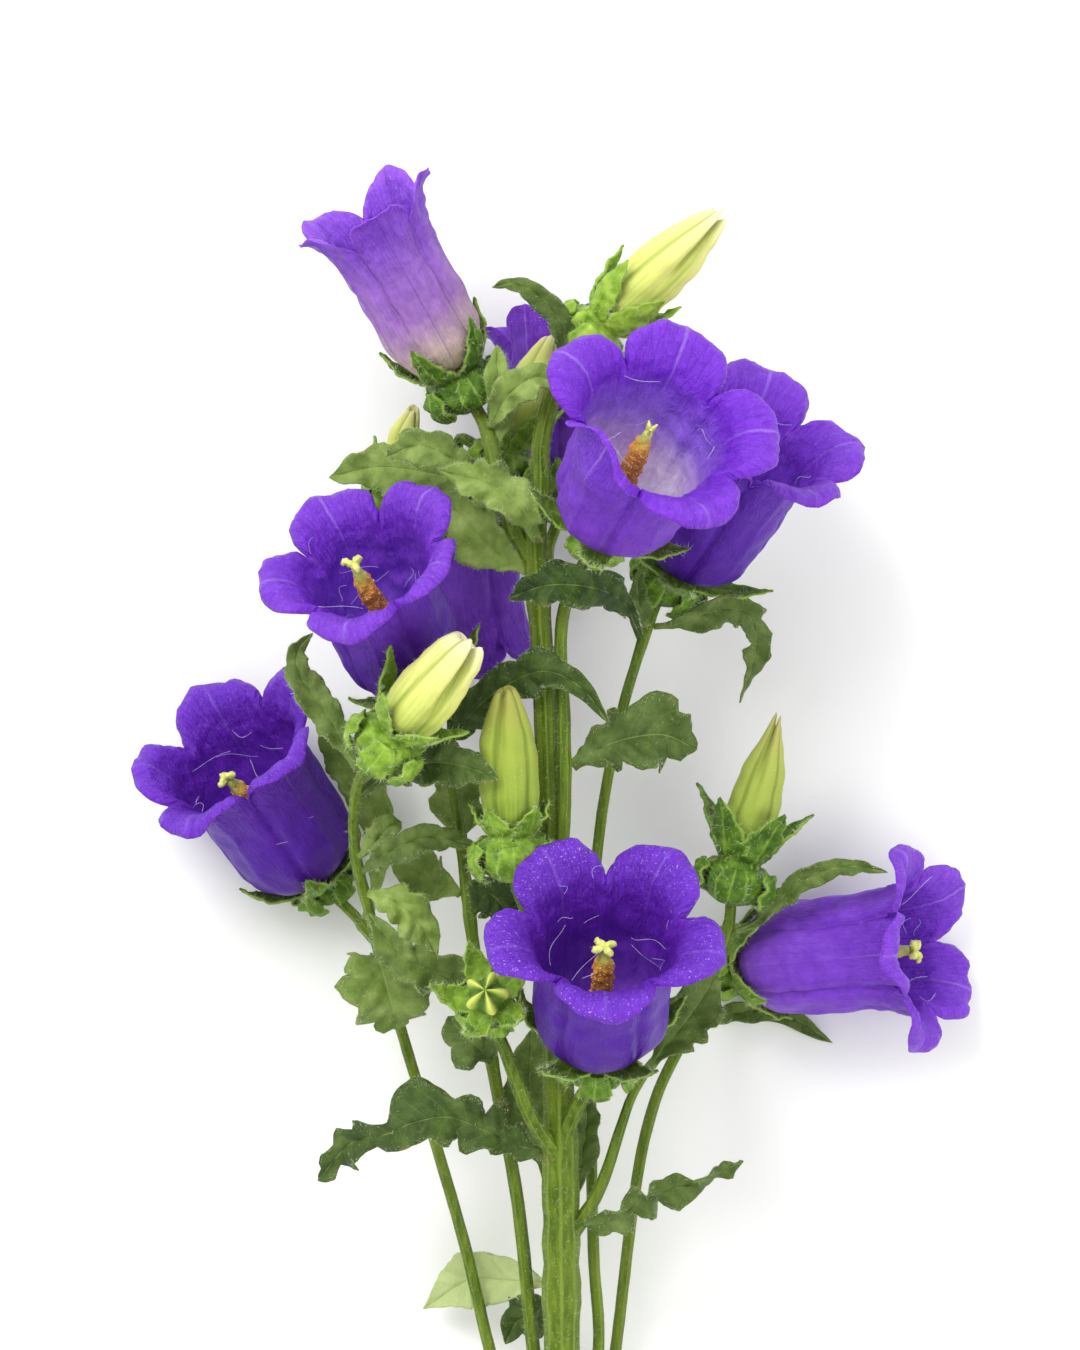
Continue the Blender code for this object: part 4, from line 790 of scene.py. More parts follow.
def starGrid(bud):  # five ridges that meet in the middle, seen from above as a star
    sizes = starSizes
    turn = fullTurn(sizes["sides"])
    ridge = np.abs(np.cos(sizes["ridges"] / 2 * turn)) ** sizes["sharp"]
    share, widest = np.linspace(0, 1, sizes["rows"]), sizes["widest"]
    # out to the widest ring, then over the top
    side = np.sin(np.minimum(share / widest, 1) * math.pi / 2) ** 0.7
    over = np.clip((share - widest) / (1 - widest), 0, 1) * math.pi / 2
    reach = np.where(share < widest, side, np.cos(over) ** 0.8)
    climb = np.where(share < widest, share / widest * 0.5, 0.5 + 0.5 * np.sin(over))
    sunk = softStep(0.3, 0.6, share) * (1 - softStep(0.93, 1.0, share))
    drawnIn = sizes["hollow"] * 0.45 * (1 - ridge) * softStep(0.1, 0.4, share)[:, None]
    wide = bud["radius"] * 1.12 * reach[:, None] * (1 - drawnIn)
    height = bud["length"] * (climb[:, None] - sizes["hollow"] * 0.5 * (1 - ridge) * sunk[:, None])
    grid = stacked(wide * np.cos(turn), wide * np.sin(turn), height)
    grid[-1] = grid[-1].mean(axis=0)
    return grid, share, np.repeat(ridge[None, :], len(share), 0) * softStep(0.2, 0.5, share)[:, None]


lime, limeStar = budMaterial(), starMaterial()
closedBuds = []
for name, bud in buds.items():
    grid, share, pleat = starGrid(bud) if name == "star" else budGrid(name, bud)
    rows, sides = grid.shape[:2]
    turn = fullTurn(sides)
    place = stacked(np.cos(turn), np.sin(turn), share[:, None]).reshape(-1, 3)
    points = carried(flowerFrame(bud), grid.reshape(-1, 3))
    shape = (points, ringFaces(rows, sides), place, np.ones(rows * sides))
    green = budForms.get(name, {}).get("green", 1)
    piece = meshPiece("closedBud_" + name, shape, limeStar if name == "star" else lime,
                      {"pleat": pleat.ravel(), "green": np.full(rows * sides, green)})
    closedBuds.append(settle(piece, "bud_yellow", "bud_" + name))
print("buds done:", len(buds))


cupSizes = dict(
    ball=6.6,  # radius of the fullest ovary
    depth=9.0,
    sepalThick=0.5,
    flapHalf=3.3,  # half width of the flaps that hang back between the sepals
    flapLength=9.0,
    flapRuffle=0.75,
    lumps=0.9,  # how far sepals and flaps are puffed up in places
    ovaryRows=30,
    ovarySides=70,
    columns=13,  # points across a sepal or flap
    sepalRows=30,
    flapRows=22,
    clear={"bell": 1.17, "bud": 0.92},  # from a flower's wall to the middle of a sepal
)
ovaryShape = (  # level as a share of its depth, and radius as a share of its own
    (-1, 0.0), (-0.985, 0.34), (-0.9, 0.62), (-0.75, 0.88), (-0.56, 1.0),
    (-0.36, 1.02), (-0.2, 0.97), (-0.1, 0.86), (-0.036, 0.68), (-0.0359, 0.0),
)
sepalShape = (  # half width by the share along it; what is below 0 is its root on the ovary
    (-0.22, 0.55), (0, 0.82), (0.2, 1.0), (0.42, 0.94), (0.62, 0.7), (0.82, 0.38), (0.94, 0.15), (1.0, 0.0),
)
# A flap's half width by the share along it.
flapShape = ((0, 0.5), (0.15, 0.85), (0.45, 1.0), (0.7, 0.92), (0.88, 0.6), (0.97, 0.25), (1, 0))
ovaryUnder = ((-1.3, 0.5), (-1.0, 0.62), (-0.75, 0.88), (-0.5, 1.0), (0, 1.0))  # where the flaps lie on it
# length and half: of a sepal; standOff: how far its tip stands away; ovary: how full the ovary is.
cup = dict(length=14.0, half=3.5, standOff=3.0, ovary=1.0)
cupChanges = {
    "bell_top_left": dict(length=14.0, standOff=0.9),
    "bell_top_back": dict(length=11.0, half=3.0, standOff=0.4, ovary=0.75),
    "bell_top_front": dict(length=14.0, standOff=3.5, ovary=0.85),
    "bell_upper_right": dict(length=13.0, half=4.0, standOff=4.5, ovary=0.95),
    "bell_far_left": dict(length=13.0, half=3.8, standOff=0.8, ovary=0.8),
    "bell_low_front": dict(length=14.0, standOff=4.5),
    "bell_low_right": dict(length=14.0, half=4.2, standOff=1.0, ovary=0.85),
    "bud_top_right": dict(length=13.0, half=3.5, standOff=2.0, ovary=0.95),
    "bud_top_mid": dict(length=11.0, half=2.8, ovary=0.8),
    "bud_small_left": dict(length=8.0, half=2.2, standOff=1.5, ovary=0.6),
    # tall: how much longer than the others one of its sepals has grown
    "bud_mid_left": dict(length=8.4, half=3.2, standOff=3.6, ovary=1.0, tall={3: 1.6}),
    "bud_mid": dict(length=6.5, half=3.4, standOff=1.4, ovary=1.05),
    "bud_right": dict(length=11.5, half=5.0, standOff=5.0, ovary=1.0),
    "bud_star": dict(length=5.5, half=3.0, standOff=5.5, ovary=0.8),
}


def cupMaterial():  # living calyx: bright, quilted and hairy, paler at its margins and midribs
    made, tree, shader = newMaterial("cup green", {
        "Roughness": 0.55, "IOR": 1.4, "Sheen Weight": 0.04, "Sheen Tint": "#E8F4C0",
        "Specular IOR Level": 0.3})
    # place holds the side from -1 to 1, the share along, and 0, 1 or 2 for ovary, sepal or flap
    place = addNode(tree, "ShaderNodeAttribute", out="Vector", attribute_name="place")
    aside = addNode(tree, "ShaderNodeSeparateXYZ", [place], out="X")
    across = addNode(tree, "ShaderNodeMath", [aside], operation="ABSOLUTE")
    shaded = addNode(tree, "ShaderNodeAttribute", out="Fac", attribute_name="shaded")
    spot = addNode(tree, "ShaderNodeTexCoord", out="Object")
    cloud = addNode(tree, "ShaderNodeTexNoise", {"Vector": spot, "Scale": 380.0, "Detail": 5.0}, out="Fac")
    colour = addNode(tree, "ShaderNodeValToRGB", [cloud], stops=[
        (0.3, "#62881E"), (0.48, "#88AC34"), (0.64, "#A2C446"), (0.8, "#BCDA60")])
    # painted shade: a darker copy of the green, mixed in as far as each cup's painted shade value says
    paintedShadeGreen = addNode(tree, "ShaderNodeValToRGB", [cloud], stops=[
        (0.3, "#264606"), (0.5, "#3C620E"), (0.7, "#567C1A"), (0.85, "#70922C")])
    colour = addNode(tree, "ShaderNodeMix", {0: shaded, 6: colour, 7: paintedShadeGreen}, **inColour)
    margin = addNode(tree, "ShaderNodeMapRange", [across, 0.75, 1.0, 0.0, 0.5], **eased)
    colour = addNode(tree, "ShaderNodeMix", {0: margin, 6: colour, 7: "#9ABA48"}, **inColour)
    rib = addNode(tree, "ShaderNodeMapRange", [across, 0.0, 0.12, 0.4, 0.0], **eased)
    colour = addNode(tree, "ShaderNodeMix", {0: rib, 6: colour, 7: "#9AB64C"}, **inColour)
    tree.links.new(colour, shader.inputs["Base Color"])
    crease = addNode(tree, "ShaderNodeTexVoronoi", {"Vector": spot, "Scale": 900.0}, out="Distance")
    height = addNode(tree, "ShaderNodeMath", [crease, 0.5, cloud], operation="MULTIPLY_ADD")
    bump = addNode(tree, "ShaderNodeBump", {"Height": height, "Strength": 0.6, "Distance": 0.0005})
    tree.links.new(bump, shader.inputs["Normal"])
    return made


def flowerOf(key):
    kind, name = key.split("_", 1)
    return kind, name, (bells if kind == "bell" else buds)[name]


def cupOf(key):
    return {**cup, **cupChanges.get(key, {})}


def heldWall(key):  # height, radius and lean of the flower's outside, by millimetres along it
    kind, _, flower = flowerOf(key)
    if kind == "bell":
        length = petalSizes["length"] * flower["size"]
        share = np.linspace(0, 1, 120)
        height, radius = wallLine(flower, 0, 1, share)
        walk = share * length
    else:
        share = np.linspace(0, 0.98, 60)
        taper = 1 - flower.get("taper", 0) * np.maximum(0, share - 0.2)
        ripple = 1 + flower.get("ripple", budSizes["pleat"])
        height, radius = share * flower["length"], lookUp(budShape, share) * taper * ripple * flower["radius"]
        walk = np.concatenate([[0], np.cumsum(np.hypot(np.diff(height), np.diff(radius)))])

    def wall(along):
        z, r = np.interp(along, walk, height), np.interp(along, walk, radius)
        z2, r2 = np.interp(along + 0.5, walk, height), np.interp(along + 0.5, walk, radius)
        return z, r, np.arctan2(r2 - r, z2 - z)
    return wall


def puffed(grid, reach, rng):  # a sepal or flap with soft lumps on it, its last row drawn to a point
    start = Vector((rng.uniform(0, 90), 3, 8))
    lumps = np.abs(noiseOver(grid, 0.45, start))
    grid[..., :2] *= 1 + (cupSizes["lumps"] * lumps / np.maximum(reach, 3))[..., None]
    grid[-1] = grid[-1].mean(axis=0)
    return grid


def cupShape(key):
    sizes, own = cupSizes, cupOf(key)
    kind, name, flower = flowerOf(key)
    rng = random.Random("cup of " + key)
    ball, depth = sizes["ball"] * own["ovary"], sizes["depth"] * own["ovary"]
    wall = heldWall(key)
    clear = sizes["clear"][kind]
    parts = []
    # the ovary: a closed ball with ten swellings
    rows, sides = sizes["ovaryRows"], sizes["ovarySides"]
    along = np.linspace(0, 1, rows)
    marks = np.linspace(0, 1, len(ovaryShape))
    level = np.interp(along, marks, [t[0] for t in ovaryShape])
    radius = np.interp(along, marks, [t[1] for t in ovaryShape]) * ball
    turn = fullTurn(sides)
    swell = 1 + 0.07 * np.cos(5 * (turn - math.pi / 5)) + 0.05 * np.cos(10 * turn + 1)
    wide = radius[:, None] * swell
    grid = stacked(wide * np.cos(turn), wide * np.sin(turn), (level * depth)[:, None])
    grid[..., :2] *= 1 + 0.1 * noiseOver(grid, 0.55)[..., None]
    spot = stacked(0.5, along[:, None], np.zeros(sides))
    parts.append((grid.reshape(-1, 3), ringFaces(rows, sides), spot.reshape(-1, 3), np.ones(rows * sides)))
    # the sepals lie along the flower and stand off it towards their tips
    side = np.linspace(-1, 1, sizes["columns"])
    for sepal in range(5):
        share = np.linspace(-0.22, 1, sizes["sepalRows"])
        held = np.maximum(share, 0)
        tall = own.get("tall", {}).get(sepal, 1)
        z, r, lean = wall(0.55 * ball + held * own["length"] * tall)
        tilt = rng.uniform(-0.3, 0.9) * own["standOff"]
        off = clear + own["standOff"] * tall * held ** 2.2 + tilt * 0.35 * held ** 3
        r = r + off * np.cos(lean)
        z = z - off * np.sin(lean)
        z = z + np.minimum(share, 0) / 0.22 * 3.6  # the root runs back over the ovary
        r = r + np.maximum(0, ball * 0.84 - r) * softStep(0.0, 0.2, -share)
        half = lookUp(sepalShape, share) * own["half"]
        half = half * (1 + 0.1 * np.sin(share * 26 + rng.uniform(0, 6)) * (share < 0.97))
        middle = 2 * math.pi / 5 * (sepal + 0.5) + rng.uniform(-0.04, 0.04)
        angle = middle + side * (half / np.maximum(r, 3.0))[:, None]
        strength = rng.uniform(0.3, 0.7)
        ruffle = strength * np.sin(share[:, None] * 17 + side * 2 + rng.uniform(0, 6)) * side ** 2
        keel = 0.35 * np.exp(-(side / 0.14) ** 2) * (half / own["half"])[:, None]
        raised = np.maximum(0, ruffle * np.minimum(1, half / 2)[:, None])
        rr = r[:, None] + raised + keel - 0.25 * side ** 2
        grid = puffed(stacked(rr * np.cos(angle), rr * np.sin(angle), z[:, None]), rr, rng)
        parts.append(solidSheet(grid, sizes["sepalThick"], stacked(side, share[:, None], 1.0)))
    # between them flaps hang back over the ovary, puffed up, ruffled and curled at the end
    scale = own["ovary"] if name != "star" else 0.7
    for flap in range(5):
        middle = 2 * math.pi / 5 * flap + rng.uniform(-0.1, 0.1)
        share = np.linspace(0, 1, sizes["flapRows"])
        long = sizes["flapLength"] * scale * rng.uniform(0.8, 1.1)
        curl = rng.uniform(0.5, 1.7)
        z = -0.1 * depth - share * long
        bulge = 1.02 + 0.2 * np.sin(share * 2.6) + 0.26 * curl * softStep(0.6, 1.0, share)
        r = ball * lookUp(ovaryUnder, z / depth) * bulge + 0.2
        z = z + 1.6 * scale * curl * softStep(0.75, 1.0, share)
        half = sizes["flapHalf"] * scale * lookUp(flapShape, share)
        angle = middle - side * (half / np.maximum(r, 2.5))[:, None]
        ripple = np.sin(share[:, None] * 15 + np.sign(side) * 1.3 + rng.uniform(0, 6))
        ruffle = sizes["flapRuffle"] * scale * ripple * np.abs(side) ** 3
        rr = r[:, None] + ruffle + 0.5 * scale * (1 - side ** 2)
        grid = puffed(stacked(rr * np.cos(angle), rr * np.sin(angle), z[:, None]), rr, rng)
        parts.append(solidSheet(grid, sizes["sepalThick"], stacked(side, share[:, None], 2.0)))
    points, faces, place, skin = heaped(parts)
    return carried(flowerFrame(flower), points), faces, place, skin


cupGreen = cupMaterial()
cups = []
cupPaintedShade = {  # painted shade for each cup: 0 is the brightest green, 1 the darkest
    "bell_top_left": 0.9, "bud_right": 0.9, "bell_low_front": 0.75, "bell_far_left": 0.75,
    "bell_upper_right": 0.75, "bell_top_front": 0.55, "bud_mid": 0.5, "bud_mid_left": 0.4,
    "bud_star": 0.4, "bud_top_right": 0.1,
}
for key in ["bell_" + name for name in bells] + ["bud_" + name for name in buds]:
    shape = cupShape(key)
    margin = np.abs(shape[2][:, 0])
    # each cup carries its painted shade value to its material
    piece = meshPiece("cup_" + key, shape, cupGreen, {
        "shaded": np.full(len(margin), cupPaintedShade.get(key, 0.55)),
        "fringe": 0.3 + 2.4 * softStep(0.9, 1.0, margin)}, seat=True)
    cups.append(settle(piece, "stem_green", "branched_stem"))
print("cups done:", len(cups))


# Each stem runs through its points and thins from its first radius to its second.
stems = {
    "main": dict(
        through=[(1.2, -88, 4.2), (0.8, -50, 12), (0.4, 0, 26), (0, 40, 35), (-0.8, 70, 42),
                 (-2, 100, 46), (-3, 130, 47.5), (-4.4, 152, 48), (-5, 162, 48), (-3.8, 172, 47),
                 (-3.8, 181, 46), (-1, 192, 46)],
        radii=(4.2, 1.6), carries="bud_top_right"),
    "to_top_left": dict(
        through=[(-5, 157, 48), (-9.6, 165, 48), (-12.8, 177, 48), (-14.8, 184.5, 45)],
        radii=(1.9, 1.5), carries="bell_top_left"),
    "to_top_mid": dict(
        through=[(-5, 158, 48), (-7, 166, 43), (-10.5, 171, 37)],
        radii=(1.5, 1.1), carries="bud_top_mid"),
    "to_top_back": dict(
        through=[(-4.4, 150, 48), (-2.4, 156, 36), (-2.2, 161, 20)],
        radii=(1.7, 1.3), carries="bell_top_back"),
    "to_mid_back": dict(
        through=[(-5, 158, 47.5), (-9, 169, 40), (-15, 179, 33), (-20, 182.5, 28)],
        radii=(1.6, 1.3), carries="bell_mid_back"),
    "to_small_left": dict(
        through=[(-9, 164.4, 47.4), (-12, 164.6, 42), (-20, 163.6, 39), (-31, 162.4, 34),
                 (-36.6, 163.6, 27)],
        radii=(1.3, 1.0), carries="bud_small_left"),
    "beside_main": dict(
        through=[(-1.6, 92, 45), (0.6, 104, 48.5), (0.8, 125, 50), (0.6, 147, 50.5)],
        radii=(1.7, 1.4), carries="bell_top_front"),
    "left": dict(
        through=[(0.9, -58, 10.5), (-6, -32, 9), (-14.4, 0, 12.5), (-19.1, 20, 15.6), (-24.5, 39, 20),
                 (-32, 64, 26), (-37.4, 84, 31), (-41.2, 101, 38), (-40.4, 113, 48)],
        radii=(1.5, 1.2), carries="bud_mid_left"),
    "to_far_left": dict(
        through=[(-36.6, 81, 30), (-39.4, 84, 21), (-41.4, 86.5, 12)],
        radii=(1.3, 1.2), carries="bell_far_left"),
    "inner_left": dict(
        through=[(0.6, -44, 13), (-2.6, -20, 17), (-5.4, 0, 21), (-8.6, 30, 27), (-13.4, 56, 33),
                 (-17.2, 80, 37), (-21, 110, 36), (-24, 122, 36)],
        radii=(1.7, 1.3), carries="bell_mid_left"),
    "to_mid_bud": dict(
        through=[(-1, 74, 43), (-5, 84, 49), (-8.6, 92, 53)],
        radii=(1.5, 1.2), carries="bud_mid"),
    "to_star": dict(
        through=[(-1, 39, 36), (-6, 47, 44), (-11, 60, 51), (-13.6, 66, 54)],
        radii=(1.9, 1.4), carries="bud_star"),
    "to_low_front": dict(
        through=[(-0.4, 40, 36), (3, 48, 40), (6, 53, 43)],
        radii=(2.1, 1.7), carries="bell_low_front"),
    "right": dict(
        through=[(1, -70, 8), (6.6, -35, 8), (11.4, 0, 11), (15.6, 34, 17), (19.4, 50, 19), (25, 62, 21),
                 (30, 73, 22), (34, 85, 24)],
        radii=(1.4, 1.3), carries="bud_right"),
    "to_low_right": dict(
        through=[(26.4, 65, 21.4), (28, 71, 16), (29.6, 76, 11)],
        radii=(1.5, 1.3), carries="bell_low_right"),
    "lower_fork": dict(
        through=[(2, 22, 31), (8, 32, 33), (14, 49.6, 35), (16.6, 54.6, 35.5)],
        radii=(1.7, 1.0), carries=None),
    "back_right": dict(
        through=[(0.8, -42, 13.5), (5, -20, 18), (7.8, 0, 21), (6.8, 18, 24), (6.2, 50, 28),
                 (6.2, 80, 31), (8, 104, 33), (12, 126, 34), (17, 143, 33), (19.4, 149.4, 29)],
        radii=(1.4, 1.2), carries="bell_upper_right"),
}

stemSizes = dict(
    ribDepth=0.06,  # how far the ridges stand out, as a share of the radius
    profiles={"mainStem": (72, 8), "sideStems": (30, 6)},  # points round a stem, and its ridges
    step=2.0,  # from ring to ring
    unevenness=0.22,
    swell=0.16,  # how much a stem thickens where a leaf or another stem leaves it
    slim=0.82,  # side stems look thinner than their solids
)


def stemLine(stem):  # a stem's path, drawn on into the ovary of the flower that it carries
    points = [Vector(p) for p in stem["through"]]
    if stem["carries"]:
        _, _, flower = flowerOf(stem["carries"])
        depth = cupSizes["depth"] * cupOf(stem["carries"])["ovary"]
        points.append(flowerFrame(flower, False) @ Vector((0, 0, -depth * 0.72)))
    return StemLine(points)


stemLines = {name: stemLine(stem) for name, stem in stems.items()}
stemMarks = {name: [line.at(i / 100) for i in range(101)] for name, line in stemLines.items()}


def nearestStem(point, leaveOut=None):  # the middle, radius, name and share of the nearest stem
    best = None
    for name, marks in stemMarks.items():
        if name == leaveOut:
            continue
        first, last = stems[name]["radii"]
        for i, mark in enumerate(marks):
            radius = first + (last - first) * i / 100
            gap = (mark - point).length - radius
            if best is None or gap < best[0]:
                best = (gap, mark, radius, name, i / 100)
    return best[1:]


def stemMaterial():
    # Herb stem: ridged, finely hairy, yellowish green with paler ridges and a few brown scars.
    made, tree, shader = newMaterial("stem ribbed", {
        "Roughness": 0.5, "IOR": 1.4, "Sheen Weight": 0.04, "Sheen Tint": "#F0F6D0",
        "Specular IOR Level": 0.3})
    rib = addNode(tree, "ShaderNodeAttribute", out="Fac", attribute_name="rib")
    spot = addNode(tree, "ShaderNodeTexCoord", out="Object")
    drawn = addNode(tree, "ShaderNodeMapping", {"Vector": spot, "Scale": (1.0, 0.12, 1.0)})
    streak = addNode(tree, "ShaderNodeTexNoise", {"Vector": drawn, "Scale": 900.0, "Detail": 4.0}, out="Fac")
    cloud = addNode(tree, "ShaderNodeTexNoise", {"Vector": spot, "Scale": 55.0, "Detail": 3.0}, out="Fac")
    colour = addNode(tree, "ShaderNodeValToRGB", [streak], stops=[
        (0.3, "#385208"), (0.5, "#526A0E"), (0.68, "#687F1C")])
    ridge = addNode(tree, "ShaderNodeMapRange", [rib, 0.5, 1.0, 0.0, 0.45], **eased)
    colour = addNode(tree, "ShaderNodeMix", {0: ridge, 6: colour, 7: "#84973E"}, **inColour)
    patch = addNode(tree, "ShaderNodeMapRange", [cloud, 0.4, 0.7, 0.0, 0.5], **eased)
    colour = addNode(tree, "ShaderNodeMix", {0: patch, 6: colour, 7: "#6C7E22"}, **inColour)
    scars = addNode(tree, "ShaderNodeTexNoise", {"Vector": spot, "Scale": 620.0, "Detail": 2.0}, out="Fac")
    speck = addNode(tree, "ShaderNodeMapRange", [scars, 0.7, 0.76, 0.0, 0.6], **eased)
    colour = addNode(tree, "ShaderNodeMix", {0: speck, 6: colour, 7: "#7A5A30"}, **inColour)
    tree.links.new(colour, shader.inputs["Base Color"])
    bump = addNode(tree, "ShaderNodeBump", {"Height": streak, "Strength": 0.5, "Distance": 0.0004})
    tree.links.new(bump, shader.inputs["Normal"])
    return made


def stemTree():  # a ribbed profile drawn along every stem's line, scaled by the line's own radius
    tree, given = treeInputs("ribbed stems", [
        ("Profile points", "NodeSocketInt"), ("Ribs", "NodeSocketInt"), ("Rib depth", "NodeSocketFloat"),
        ("Unevenness", "NodeSocketFloat"), ("Floor", "NodeSocketFloat"), ("Cut end", "NodeSocketFloat"),
        ("Material", "NodeSocketMaterial")])
    ring = addNode(tree, "GeometryNodeCurvePrimitiveCircle", {
        "Resolution": given["Profile points"], "Radius": 1.0})
    index = addNode(tree, "GeometryNodeInputIndex")
    part = addNode(tree, "ShaderNodeMath", [index, given["Profile points"]], operation="DIVIDE")
    turn = addNode(tree, "ShaderNodeMath", [part, 2 * math.pi], operation="MULTIPLY")
    turns = addNode(tree, "ShaderNodeMath", [turn, given["Ribs"]], operation="MULTIPLY")
    wave = addNode(tree, "ShaderNodeMath", [turns], operation="COSINE")
    marked = addNode(tree, "GeometryNodeStoreNamedAttribute", {
        "Geometry": ring, "Name": "rib", "Value": wave}, data_type="FLOAT", domain="POINT")
    scale = addNode(tree, "ShaderNodeMath", [wave, given["Rib depth"], 1.0], operation="MULTIPLY_ADD")
    here = addNode(tree, "GeometryNodeInputPosition")
    wider = addNode(tree, "ShaderNodeVectorMath", {0: here, "Scale": scale}, operation="SCALE")
    ribbed = addNode(tree, "GeometryNodeSetPosition", {"Geometry": marked, "Position": wider})
    radius = addNode(tree, "GeometryNodeInputRadius")
    swept = addNode(tree, "GeometryNodeCurveToMesh", {"Curve": given["Geometry"], "Profile Curve": ribbed,
                                                      "Scale": radius, "Fill Caps": True})
    rough = addNode(tree, "ShaderNodeTexNoise", {"Vector": here, "Scale": 260.0, "Detail": 3.0}, out="Fac")
    even = addNode(tree, "ShaderNodeMath", [rough, -0.5], operation="ADD")
    out = addNode(tree, "ShaderNodeMath", [even, given["Unevenness"]], operation="MULTIPLY")
    normal = addNode(tree, "GeometryNodeInputNormal")
    push = addNode(tree, "ShaderNodeVectorMath", {0: normal, "Scale": out}, operation="SCALE")
    uneven = addNode(tree, "GeometryNodeSetPosition", {"Geometry": swept, "Offset": push})
    # nothing dips into the table or reaches past the cut
    least = addNode(tree, "ShaderNodeCombineXYZ", [-9.0, given["Cut end"], given["Floor"]])
    kept = addNode(tree, "ShaderNodeVectorMath", [here, least], operation="MAXIMUM")
    seated = addNode(tree, "GeometryNodeSetPosition", {"Geometry": uneven, "Position": kept})
    smooth = addNode(tree, "GeometryNodeSetShadeSmooth", {"Geometry": seated})
    real = addNode(tree, "GeometryNodeRealizeInstances", [smooth])
    dressed = addNode(tree, "GeometryNodeSetMaterial", {"Geometry": real, "Material": given["Material"]})
    addNode(tree, "NodeGroupOutput", [dressed])
    return tree


